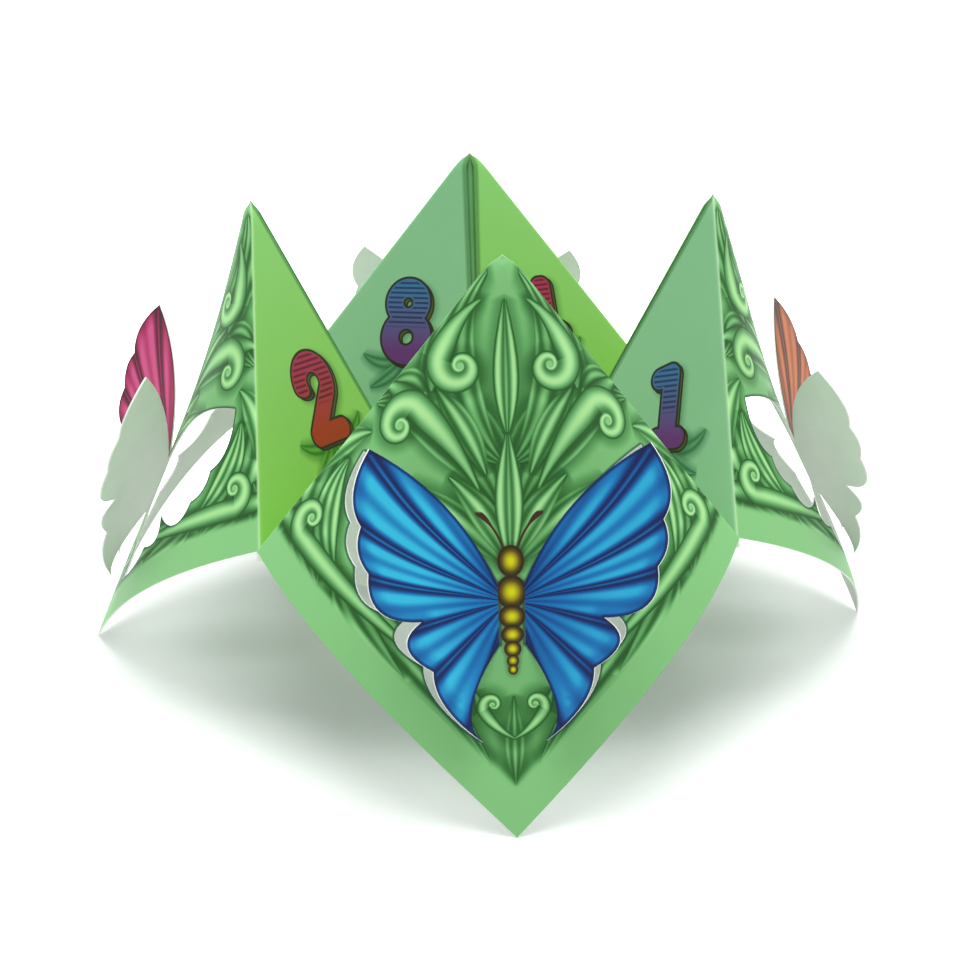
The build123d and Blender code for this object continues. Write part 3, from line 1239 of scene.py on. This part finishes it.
flap_print, tree, across, down = print_material("printed_flap")
aside = across.math("ABSOLUTE")
drawing = GROUND_TONE - down.rise(2.0, 60.0) * 0.04
for first, middle, last, half_width, ribs, lean in LEAVES_OF_FLAP:
    light, inside = placed(tree, plume, aside, down, *arc_through(first, middle, last),
                           half_width, ribs, lean)
    drawing, = placed(tree, overlay, drawing, light, inside)
for (centre_across, centre_down), radius, start, hand, bend, sweep, half_width in SCROLLS:
    curl = (centre_across, centre_down, radius, radians(start), hand)
    stem = stem_of(*curl, bend, sweep, half_width)
    light, inside = placed(tree, plume, aside, down, *stem)
    drawing, = placed(tree, overlay, drawing, light, inside)
    light, inside = placed(tree, scroll, aside, down, *curl)
    drawing, = placed(tree, overlay, drawing, light, inside)
to_free_edge = PANEL - (down + aside) / sqrt(2)
drawing = drawing.toward(BORDER_TONE, 1.0 - to_free_edge.rise(BORDER - 1.2, BORDER + 0.3))
border_line = (to_free_edge.rise(BORDER - 0.8, BORDER + 0.1)
               * (1.0 - to_free_edge.rise(BORDER + 0.2, BORDER + 2.2)))
drawing = drawing * (1.0 - border_line * 0.35)
print("flap drawing has", len(tree.nodes), "nodes")

# %% [markdown]
# ### The butterfly's body
# A row of soft beads runs down the middle between the hinges, with two feelers above. Each
# bead is lit in its middle and dark at its rim, as an airbrushed bead is. It is given by how
# far down it lies, its half width and its half height.

# %% Beads of the body
BEADS = [(39.2, 1.66, 2.05), (43.1, 1.92, 2.15), (46.2, 1.68, 1.5), (48.5, 1.42, 1.25),
         (50.3, 1.08, 1.05), (51.8, 0.78, 0.8), (52.9, 0.62, 0.66)]
BEAD_SHADE = ink(44, 58, 20)
BEAD_INKS = [(0.06, ink(44, 30, 10)), (0.34, ink(100, 82, 14)), (0.72, ink(170, 162, 16)),
             (1.0, ink(214, 210, 18))]


def bead_group():
    """Soft oval bead on the middle line: its light and how far inside it a point lies."""
    tree, (aside, down, centre, half_width, half_height), leave = new_group(
        "bead", ("Aside", "Down", "Centre", "Half width", "Half height"), ("Light", "Inside"))
    out = length_of(aside / half_width, (down - centre) / half_height)
    feed(tree, leave.inputs["Light"], 1.0 - out.rise(0.05, 1.0))
    feed(tree, leave.inputs["Inside"], (1.0 - out) * half_width)
    return tree


bead = bead_group()
print("the body has", len(BEADS), "beads")

# %% [markdown]
# The flap's ramp of greens is the ground that the rest is painted on. First comes the dark
# line round each window, from the distance that was kept with the points, and then the
# feelers, which are thin arcs that thicken towards their ends.

# %% Window line and feelers
WINDOW_INK = ink(36, 74, 60)
FEELER_INK = ink(58, 36, 18)
FEELER_FOOT = 37.8
FEELER_RISE = 4.8
FEELER = arc_through((0.85, FEELER_FOOT), (1.8, 35.5), (4.0, FEELER_FOOT - FEELER_RISE))
flap_colour = ramp_of(drawing, GREENS)
window_line = kept_number(tree, "from_cut")
flap_colour = mixed(flap_colour, WINDOW_INK, 0.85 * (1.0 - window_line.rise(0.15, 0.45)))
feeler_across, feeler_down, feeler_bend = FEELER[:3]
off_feeler = length_of(aside - feeler_across, down - feeler_down) - feeler_bend
up_feeler = (FEELER_FOOT - down) / FEELER_RISE
feeler_width = 0.14 + up_feeler.rise(0.6, 0.95) * 0.24
inside = feeler_width - off_feeler.math("ABSOLUTE")
on_feeler = up_feeler.rise(-0.02, 0.02) * (1.0 - up_feeler.rise(0.97, 1.04))
flap_colour = mixed(flap_colour, FEELER_INK, inside.rise(-0.08, 0.04) * on_feeler
                    * aside.rise(0.3, 0.5) * (1.0 - aside.rise(4.1, 4.3)))
print("a feeler bends round a radius of", round(feeler_bend, 1), "mm")

# %% [markdown]
# A narrow shade lies along each hinge, the beads cover the middle, and a pale line runs
# along the folds at the sides of the flap: partly ink worn off, as it is on every card that
# is folded by hand, and partly a painted highlight on the rounded fold.

# %% Hinge shade, beads, and folds with worn ink and a painted highlight
HINGE_INK = ink(40, 58, 66)
FOLD_WEAR_AND_HIGHLIGHT_INK = ink(196, 226, 186)
FOLD_WEAR_AND_HIGHLIGHT_SHARE = 0.45
beside_hinge = aside.rise(1.15, 1.4) * (1.0 - aside.rise(1.7, 1.8))
beside_hinge = beside_hinge * down.rise(hinge_high - 0.8, hinge_high)
beside_hinge = beside_hinge * (1.0 - down.rise(hinge_low, hinge_low + 0.5))
flap_colour = mixed(flap_colour, HINGE_INK, beside_hinge * 0.85)
for centre, half_width, half_height in BEADS:
    light, inside = placed(tree, bead, aside, down, centre, half_width, half_height)
    flap_colour = mixed(flap_colour, BEAD_SHADE, inside.rise(-0.6, 0.0) * 0.4)
    bead_colour = ramp_of(light, BEAD_INKS)
    flap_colour = mixed(flap_colour, bead_colour, inside.rise(-0.06, 0.06))


def worn_and_highlit_fold(colour, from_fold, reach):
    """A colour with the pale line along a fold: ink worn off, and a painted highlight."""
    return mixed(colour, FOLD_WEAR_AND_HIGHLIGHT_INK, (1.0 - from_fold.rise(0.02, reach)) * FOLD_WEAR_AND_HIGHLIGHT_SHARE)


# Pale line along the folds of the flap: partly worn ink, partly a painted highlight.
flap_colour = worn_and_highlit_fold(flap_colour, (down - aside) / sqrt(2), 0.2)
card_finish(flap_print, flap_colour, 0.5, 0.2)
print("flap print has", len(tree.nodes), "nodes")

# %% [markdown]
# ## The wings
# Ribs fan out from the root of the wings to the notches of the outline. The angle about the
# root, passed through a ramp with a stop at each notch, counts the cells between ribs, and
# its fraction tells where in a cell a point lies. A ramp holds nothing above 1, so the cells
# are counted in tenths.

# %% Wing group
ROOT = (0.2, 44.4)
RIB_DEGREES = (-100.0, -68.0, -36.0, -8.0, 13.0, 26.5, 43.5, 64.0)
RAMP_DEGREES = 180.0
TENTHS = 10.0
RIB_CURVE = 2.5
WING_SPAN = 24.0


def wing_group():
    """Light on a ribbed wing, from 0 at the ribs and rim to 1 beside the middle of a cell."""
    tree, (aside, down, from_cut), leave = new_group(
        "ribbed_wing", ("Aside", "Down", "From cut"), ("Light",))
    out, up = aside - ROOT[0], ROOT[1] - down
    distance = length_of(out, up)
    curve = (distance / WING_SPAN * pi).math("SINE") * RIB_CURVE
    angle = up.math("ARCTAN2", out) * (180 / pi) + curve
    ramp = tree.nodes.new("ShaderNodeValToRGB")
    stops = ramp.color_ramp.elements
    while len(stops) < len(RIB_DEGREES):
        stops.new(0.5)
    for number, (stop, degree) in enumerate(zip(stops, RIB_DEGREES)):
        count = number / TENTHS
        stop.position = (degree - RIB_DEGREES[0]) / RAMP_DEGREES
        stop.color = (count, count, count, 1)
    feed(tree, ramp.inputs[0], (angle - RIB_DEGREES[0]) / RAMP_DEGREES)
    cell = (Field(tree, ramp.outputs[0]) * TENTHS).math("FRACT")
    to_rib = cell.math("MINIMUM", 1.0 - cell) * 2.0
    vein = (1.0 - to_rib.rise(0.0, 0.1)) * 0.4
    light = 0.03 + vein + to_rib.rise(0.13, 0.5) * 0.95 - to_rib.rise(0.58, 1.0) * 0.42
    light = light * (0.5 + distance.rise(2.0, 15.0) * 0.5)
    light = light * (0.1 + from_cut.rise(0.2, 0.55) * 0.5 + from_cut.rise(0.5, 2.4) * 0.4)
    feed(tree, leave.inputs["Light"], light)
    return tree


ribbed_wing = wing_group()
print("wing group has", len(ribbed_wing.nodes), "nodes")

# %% [markdown]
# The same drawing serves all four butterflies: each has a ramp of four inks, from the dark
# along the ribs to the light beside the middle of a cell. The left wing of a pair is painted a
# little lighter and the right one a little darker: painted light, as if it fell from the left.

# %% Wings in four colours
WING_INKS = {
    "blue_wings": ((12, 22, 74), (16, 78, 146), (24, 122, 186), (52, 190, 226)),
    "copper_wings": ((48, 24, 10), (124, 62, 32), (174, 92, 50), (208, 126, 80)),
    "violet_wings": ((32, 14, 70), (88, 46, 142), (118, 70, 176), (160, 118, 212)),
    "pink_wings": ((56, 8, 28), (130, 22, 66), (174, 44, 98), (206, 84, 134)),
}
WING_STOPS = (0.0, 0.26, 0.56, 1.0)
LEFT_WING_PAINTED_LIGHT = 1.08
RIGHT_WING_PAINTED_SHADE = 0.2
for name, inks in WING_INKS.items():
    wing_print, tree, across, down = print_material(name)
    light, = placed(tree, ribbed_wing, across.math("ABSOLUTE"), down,
                    kept_number(tree, "from_cut"))
    # Painted light and shade: the left wing is made lighter and the right one darker, as if lit
    # from the left.
    light = light * (LEFT_WING_PAINTED_LIGHT - across.rise(-1.0, 1.0) * RIGHT_WING_PAINTED_SHADE)
    stops = [(place, ink(*colour)) for place, colour in zip(WING_STOPS, inks)]
    card_finish(wing_print, ramp_of(light, stops), 0.46, 0.2)
print("wings in", len(WING_INKS), "colours")

# %% [markdown]
# ## Numbered faces
# Each of the eight inner faces has a plain ground that deepens towards the middle of the
# sheet, and a striped block numeral. A numeral is built from bars and arcs of one width: the
# shortest distance to any of them gives its outline, its block shadow and its stripes.

# %% Numeral strokes
HALF_STROKE = 1.7


def bar_group():
    """How far a point lies inside a straight bar."""
    tree, numbers, leave = new_group("bar", (
        "Right", "Below", "From right", "From below", "To right", "To below"), ("Inside",))
    right, below, from_right, from_below, to_right, to_below = numbers
    run_right, run_below = to_right - from_right, to_below - from_below
    off_right, off_below = right - from_right, below - from_below
    share = ((off_right * run_right + off_below * run_below)
             / (run_right * run_right + run_below * run_below))
    share = share.math("MAXIMUM", 0.0).math("MINIMUM", 1.0)
    gap = length_of(off_right - run_right * share, off_below - run_below * share)
    feed(tree, leave.inputs["Inside"], HALF_STROKE - gap)
    return tree


def bow_group():
    """How far a point lies inside a bar that is bent to an arc."""
    tree, numbers, leave = new_group("bow", (
        "Right", "Below", "Centre right", "Centre below", "Arc radius", "Middle turn",
        "Half turn"), ("Inside",))
    right, below, centre_right, centre_below, arc_radius, middle_turn, half_turn = numbers
    off_right, off_below = right - centre_right, below - centre_below
    angle = (off_below.math("ARCTAN2", off_right) - middle_turn).math("WRAP", pi, -pi)
    past = (angle.math("ABSOLUTE") - half_turn).math("MAXIMUM", 0.0)
    out = length_of(off_right, off_below)
    beside = past.math("MINIMUM", pi / 2).math("SINE") * out
    gap = length_of(out - arc_radius, beside)
    feed(tree, leave.inputs["Inside"], HALF_STROKE - gap)
    return tree


bar, bow_stroke = bar_group(), bow_group()
print("a stroke is", 2 * HALF_STROKE, "mm wide")

# %% [markdown]
# The strokes are given in millimetres from the middle of the numeral, to the right and down,
# for a numeral 14 mm tall with its outline. A bar has two ends. An arc has a centre, a
# radius and the degrees where it begins and ends, counted from the right and turning
# downwards.

# %% Numerals
NUMERAL_HEIGHT = 14.0
NUMERALS = {
    "one": [("bar", -1.6, -4.3, 0.6, -4.9), ("bar", 0.6, -4.9, 0.6, 4.9),
            ("bar", -1.3, 4.9, 2.5, 4.9)],
    "two": [("arc", 0.0, -2.4, 3.1, -185, 35), ("bar", 2.5, -0.6, -2.8, 5.3),
            ("bar", -2.8, 5.5, 3.3, 5.5)],
    "three": [("arc", -0.2, -2.8, 2.7, -165, 80), ("arc", -0.2, 2.6, 3.0, -80, 165)],
    "four": [("bar", 2.0, -5.3, 2.0, 5.6), ("bar", 1.4, -5.3, -4.2, 2.4),
             ("bar", -4.2, 2.5, 4.4, 2.5)],
    "five": [("bar", 3.0, -5.5, -2.2, -5.5), ("bar", -2.2, -5.5, -2.4, -0.9),
             ("arc", -0.3, 2.2, 3.3, -120, 150)],
    "six": [("arc", 0.0, 2.5, 3.0, -180, 180), ("arc", 3.6, 2.0, 6.6, 180, 248)],
    "seven": [("bar", -3.0, -5.5, 3.2, -5.5), ("bar", 3.2, -5.4, -0.6, 5.6)],
    "eight": [("arc", 0.0, -3.1, 2.5, -180, 180), ("arc", 0.0, 2.7, 3.0, -180, 180)],
}


def numeral_inside(tree, strokes, right, below):
    """How far a point lies inside a numeral."""
    inside = None
    for kind, *numbers in strokes:
        if kind == "bar":
            part, = placed(tree, bar, right, below, *numbers)
        else:
            *arc, begin, end = numbers
            part, = placed(tree, bow_stroke, right, below, *arc, radians((begin + end) / 2),
                           radians((end - begin) / 2))
        inside = part if inside is None else inside.math("MAXIMUM", part)
    return inside


print(len(NUMERALS), "numerals of", sum(map(len, NUMERALS.values())), "strokes in all")

# %% [markdown]
# Faces come in a cooler and a warmer green, each with a ground in three inks and leaves in
# two. Each face has its hand, 1 or -1, which turns its numeral the right way round, then the
# place of the numeral's middle on the flat card, the degrees by which it leans, its greens
# and its three inks: one for the stripes, and two that blend down the numeral.

# %% The eight faces
COOL_GROUND = [(0.0, ink(126, 184, 134)), (0.5, ink(142, 194, 146)), (1.0, ink(104, 166, 104))]
WARM_GROUND = [(0.0, ink(136, 202, 112)), (0.5, ink(140, 200, 92)), (1.0, ink(116, 178, 62))]
COOL_LEAF = (ink(50, 108, 66), ink(98, 158, 108))
WARM_LEAF = (ink(48, 110, 28), ink(98, 170, 60))
COOL_FACE = (COOL_GROUND, COOL_LEAF)
WARM_FACE = (WARM_GROUND, WARM_LEAF)
RED_INKS = ((84, 20, 34), (166, 52, 78), (164, 60, 26))
BLUE_INKS = ((26, 44, 72), (60, 108, 152), (104, 54, 114))
FACES = {
    "one": (-1, 29.6, 13.4, 34, COOL_FACE, BLUE_INKS),
    "two": (1, 28.6, 9.9, 18, WARM_FACE, RED_INKS),
    "three": (-1, 27.6, 12.0, 12, COOL_FACE, BLUE_INKS),
    "four": (-1, 27.2, 11.8, 10, WARM_FACE, RED_INKS),
    "five": (1, 27.6, 12.0, 12, COOL_FACE, BLUE_INKS),
    "six": (-1, 27.6, 11.6, 14, WARM_FACE, RED_INKS),
    "seven": (1, 28.0, 11.6, 14, WARM_FACE, RED_INKS),
    "eight": (1, 27.2, 12.0, 7, COOL_FACE, BLUE_INKS),
}
LEAVES = [((0.6, 6.0), (-4.2, 7.2), (-8.2, 5.4)), ((0.4, 6.0), (-2.2, 9.2), (-6.6, 11.6)),
          ((0.8, 6.0), (5.0, 6.6), (8.4, 3.6)), ((0.6, 6.0), (3.4, 9.4), (7.6, 10.6)),
          ((0.4, 6.0), (0.9, 9.6), (0.2, 13.4))]
print(len(FACES), "faces, each with", len(LEAVES), "leaves")

# %% [markdown]
# A face is painted from back to front: its ground, the leaves, the soft shadow that the
# numeral casts, the dark block behind it, and then its own face with stripes in the upper
# half. The shadow and the block are the same strokes, moved to the right and down.

# %% Leaves and numeral of a face
LEAF_SHAPE = (1.3, 2, 0.9)
CAST_SHIFT = (1.0, 0.8)
BLOCK_SHIFT = (0.5, 0.4)
OUTLINE_INK = ink(40, 42, 20)
BLOCK_INK = ink(84, 86, 44)
STRIPE_WAVE = 7.6


def with_leaves(tree, colour, right, below, leaf_inks):
    """A ground with leaves laid over it."""
    for first, middle, last in LEAVES:
        light, inside = placed(tree, plume, right, below, *arc_through(first, middle, last),
                               *LEAF_SHAPE)
        colour = mixed(colour, leaf_inks[0], inside.rise(-1.4, 0.1) * 0.5)
        leaf = ramp_of(light, [(0.2, leaf_inks[0]), (1.0, leaf_inks[1])])
        colour = mixed(colour, leaf, inside.rise(-0.06, 0.08))
    return colour


def with_numeral(tree, colour, right, below, word, shade, inks):
    """A ground with a block numeral laid over it."""
    strokes = NUMERALS[word]
    cast = numeral_inside(tree, strokes, right - CAST_SHIFT[0], below - CAST_SHIFT[1])
    colour = mixed(colour, shade, cast.rise(-1.3, 0.6) * 0.6)
    block = numeral_inside(tree, strokes, right - BLOCK_SHIFT[0], below - BLOCK_SHIFT[1])
    face = numeral_inside(tree, strokes, right, below)
    outer = block.math("MAXIMUM", face)
    colour = mixed(colour, OUTLINE_INK, outer.rise(-0.32, -0.18))
    colour = mixed(colour, BLOCK_INK, block.rise(0.0, 0.14) * (1.0 - face.rise(-0.3, -0.2)))
    stripes = (below * STRIPE_WAVE).math("SINE").rise(-0.1, 0.5) * face.rise(0.32, 0.5)
    stripes = stripes * (1.0 - below.rise(0.4, 1.4))
    stripe_ink, upper_ink, lower_ink = [ink(*values) for values in inks]
    blend = ramp_of((below + NUMERAL_HEIGHT / 2) / NUMERAL_HEIGHT,
                    [(0.15, upper_ink), (0.85, lower_ink)])
    blend = mixed(blend, stripe_ink, stripes * 0.85)
    return mixed(colour, blend, face.rise(0.08, 0.22))


# %% Paint the eight faces
FACE_START = 2.0
FACE_SPAN = 66.0
SLIT_SHADE_INK = ink(60, 118, 58)


def numbered_face(word):
    """Ground, leaves and numeral of one inner face."""
    hand, middle_aside, middle_down, lean, (ground, leaf_inks), inks = FACES[word]
    face_print, tree, across, down = print_material("number_" + word)
    aside = across.math("ABSOLUTE")
    lean_out, lean_down = cos(radians(lean)), sin(radians(lean))
    from_aside, from_down = aside - middle_aside, down - middle_down
    below = from_aside * lean_out + from_down * lean_down
    right = (from_aside * lean_down - from_down * lean_out) * hand
    colour = ramp_of((aside - FACE_START) / FACE_SPAN, ground)
    colour = with_leaves(tree, colour, right, below, leaf_inks)
    colour = with_numeral(tree, colour, right, below, word, leaf_inks[0], inks)
    # Painted shade: the face darkens along its edge beside the slit, where shade falls into the
    # gap.
    painted_slit_shade = 1.0 - down.rise(0.4, 1.0)
    colour = mixed(colour, SLIT_SHADE_INK, painted_slit_shade * 0.7)
    # Pale line along the fold of the face: partly worn ink, partly a painted highlight.
    colour = worn_and_highlit_fold(colour, (aside - down) / sqrt(2), 0.22)
    card_finish(face_print, colour, 0.5, 0.2)


for word in FACES:
    numbered_face(word)
print("numbered", len(FACES), "faces")

# %% [markdown]
# ## Hidden print, blank side and cut edge
# The layers inside the folds carry a plain green, which shows in the slits along the ridges.
# The back of the card is unprinted, a little grey, with the fibre that shows on raw board.
# Where the die cut it, the white core shows as a fine bright line.

# %% Plain sides of the card
def plain_side(name, colour, shade, roughness):
    """Material of one tone with the mottle of the card."""
    material = bpy.data.materials[name]
    material.use_nodes = True
    tree = material.node_tree
    _, mottle = placed(tree, grain)
    card_finish(material, ramp_of(mottle, [(0.3, ink(*shade)), (0.7, ink(*colour))]),
                roughness, 0.3)


plain_side("hidden_print", (112, 172, 112), (96, 156, 96), 0.5)
plain_side("blank_side", (243, 249, 239), (236, 243, 232), 0.72)
plain_side("cut_edge", (246, 249, 244), (236, 240, 233), 0.8)
print("the card carries", len(sheet.data.materials), "materials")

# %% [markdown]
# ## Floor
# A plain white table that keeps the soft shadow of the card. Away from the sheet it shows
# plain white to the camera, as an overexposed backdrop does, and under the middle it carries
# a painted pool of light, a little lighter, for the light that falls in through the windows.
# That extra white is only for rays that come straight from the camera or off something
# glossy, so it lights nothing.
# Each of the three rings below begins and ends at a distance from the middle, in metres.

# %% Rays that see the backdrop
def seen_rays(tree):
    """1 for a ray from the camera, off a glossy surface or through a clear one, or else 0."""
    rays = tree.nodes.new("ShaderNodeLightPath")
    camera_ray, glossy_ray, clear_ray = [Field(tree, rays.outputs[label]) for label in (
        "Is Camera Ray", "Is Glossy Ray", "Is Transmission Ray")]
    return camera_ray.math("MAXIMUM", glossy_ray).math("MAXIMUM", clear_ray)


# %% Floor
FLOOR_SIZE = 8.0
WINDOW_RING = (0.010, 0.032)
SHADOW_RING = (0.036, 0.056)
WHITE_RING = (0.055, 0.1)
deselect()
bpy.ops.mesh.primitive_plane_add(size=FLOOR_SIZE, location=(0, 0, 0))
floor = bpy.context.object
floor.name = "floor"
floor_paint = bpy.data.materials.new("white_table")
floor_paint.use_nodes = True
tree = floor_paint.node_tree
shader = tree.nodes["Principled BSDF"]
shader.inputs["Base Color"].default_value = (0.76, 0.82, 0.78, 1)
shader.inputs["Roughness"].default_value = 0.9
shader.inputs["Specular IOR Level"].default_value = 0.1
shader.inputs["Emission Color"].default_value = (1, 1, 1, 1)
parts = tree.nodes.new("ShaderNodeSeparateXYZ")
tree.links.new(tree.nodes.new("ShaderNodeTexCoord").outputs["Object"], parts.inputs[0])
from_middle = length_of(Field(tree, parts.outputs[0]), Field(tree, parts.outputs[1]))
# Painted light: a pool of extra white under the windows, seen only by the camera and in gloss.
painted_window_light = 1.0 - from_middle.rise(*WINDOW_RING)
extra_white = (painted_window_light * 0.18 + from_middle.rise(*SHADOW_RING) * 0.24
               + from_middle.rise(*WHITE_RING))
feed(tree, shader.inputs["Emission Strength"], seen_rays(tree) * extra_white)
floor.data.materials.append(floor_paint)
print("floor", FLOOR_SIZE, "m square")

# %% [markdown]
# ## Light
# A studio tent: light comes from all round, with one broad soft lamp overhead. The lamp
# draws the shadow under the flaps, and the tent keeps the shaded sides of the card clear.
# What the camera sees of the tent itself is plain white.

# %% Light
TENT = 0.6
LAMP_TARGET = Vector((0, 0, 0.03))
world = bpy.data.worlds.new("studio")
bpy.context.scene.world = world
world.use_nodes = True
background = world.node_tree.nodes["Background"]
background.inputs["Color"].default_value = (1, 1, 1, 1)
feed(world.node_tree, background.inputs["Strength"],
     seen_rays(world.node_tree) * (1.0 - TENT) + TENT)


def soft_lamp(name, location, size, watts):
    """Square lamp that faces the middle of the sheet."""
    lamp = bpy.data.lights.new(name, "AREA")
    lamp.size = size
    lamp.energy = watts
    holder = bpy.data.objects.new(name, lamp)
    holder.location = location
    facing = LAMP_TARGET - Vector(location)
    holder.rotation_euler = facing.to_track_quat("-Z", "Y").to_euler()
    bpy.context.scene.collection.objects.link(holder)


soft_lamp("overhead_lamp", location=(0.0, 0.1, 1.15), size=0.8, watts=14)
print("tent at", TENT, "of white, and one lamp")

# %% [markdown]
# ## Camera
# The camera stands where the photographer stood, a little above the table and to the left
# of the middle, with a lens that keeps the far horns nearly as large as the near one. The
# yaw turns it to the right, the pitch turns it down and the roll lifts its right side. The
# three axes that follow from them are the columns of its rotation.

# %% Camera
CAMERA_PLACE = Vector((-16.99, -243.14, 121.71)) * MILLIMETRE
CAMERA_YAW = radians(4.22)
CAMERA_PITCH = radians(22.05)
CAMERA_ROLL = radians(0.11)
LENS = 62.56
SENSOR_WIDTH = 36
view_forward = Vector((sin(CAMERA_YAW) * cos(CAMERA_PITCH),
                       cos(CAMERA_YAW) * cos(CAMERA_PITCH), -sin(CAMERA_PITCH)))
level_right = Vector((cos(CAMERA_YAW), -sin(CAMERA_YAW), 0))
level_up = level_right.cross(view_forward)
view_right = level_right * cos(CAMERA_ROLL) + level_up * sin(CAMERA_ROLL)
view_up = level_up * cos(CAMERA_ROLL) - level_right * sin(CAMERA_ROLL)
camera_data = bpy.data.cameras.new("camera")
camera_data.lens = LENS
camera_data.sensor_width = SENSOR_WIDTH
camera = bpy.data.objects.new("camera", camera_data)
camera.location = CAMERA_PLACE
camera.rotation_euler = Matrix((view_right, view_up, -view_forward)).transposed().to_euler()
bpy.context.scene.collection.objects.link(camera)
bpy.context.scene.camera = camera
print("camera", round(CAMERA_PLACE.length, 3), "m from the middle")

# %% Finish
bpy.context.scene.view_settings.view_transform = "Standard"
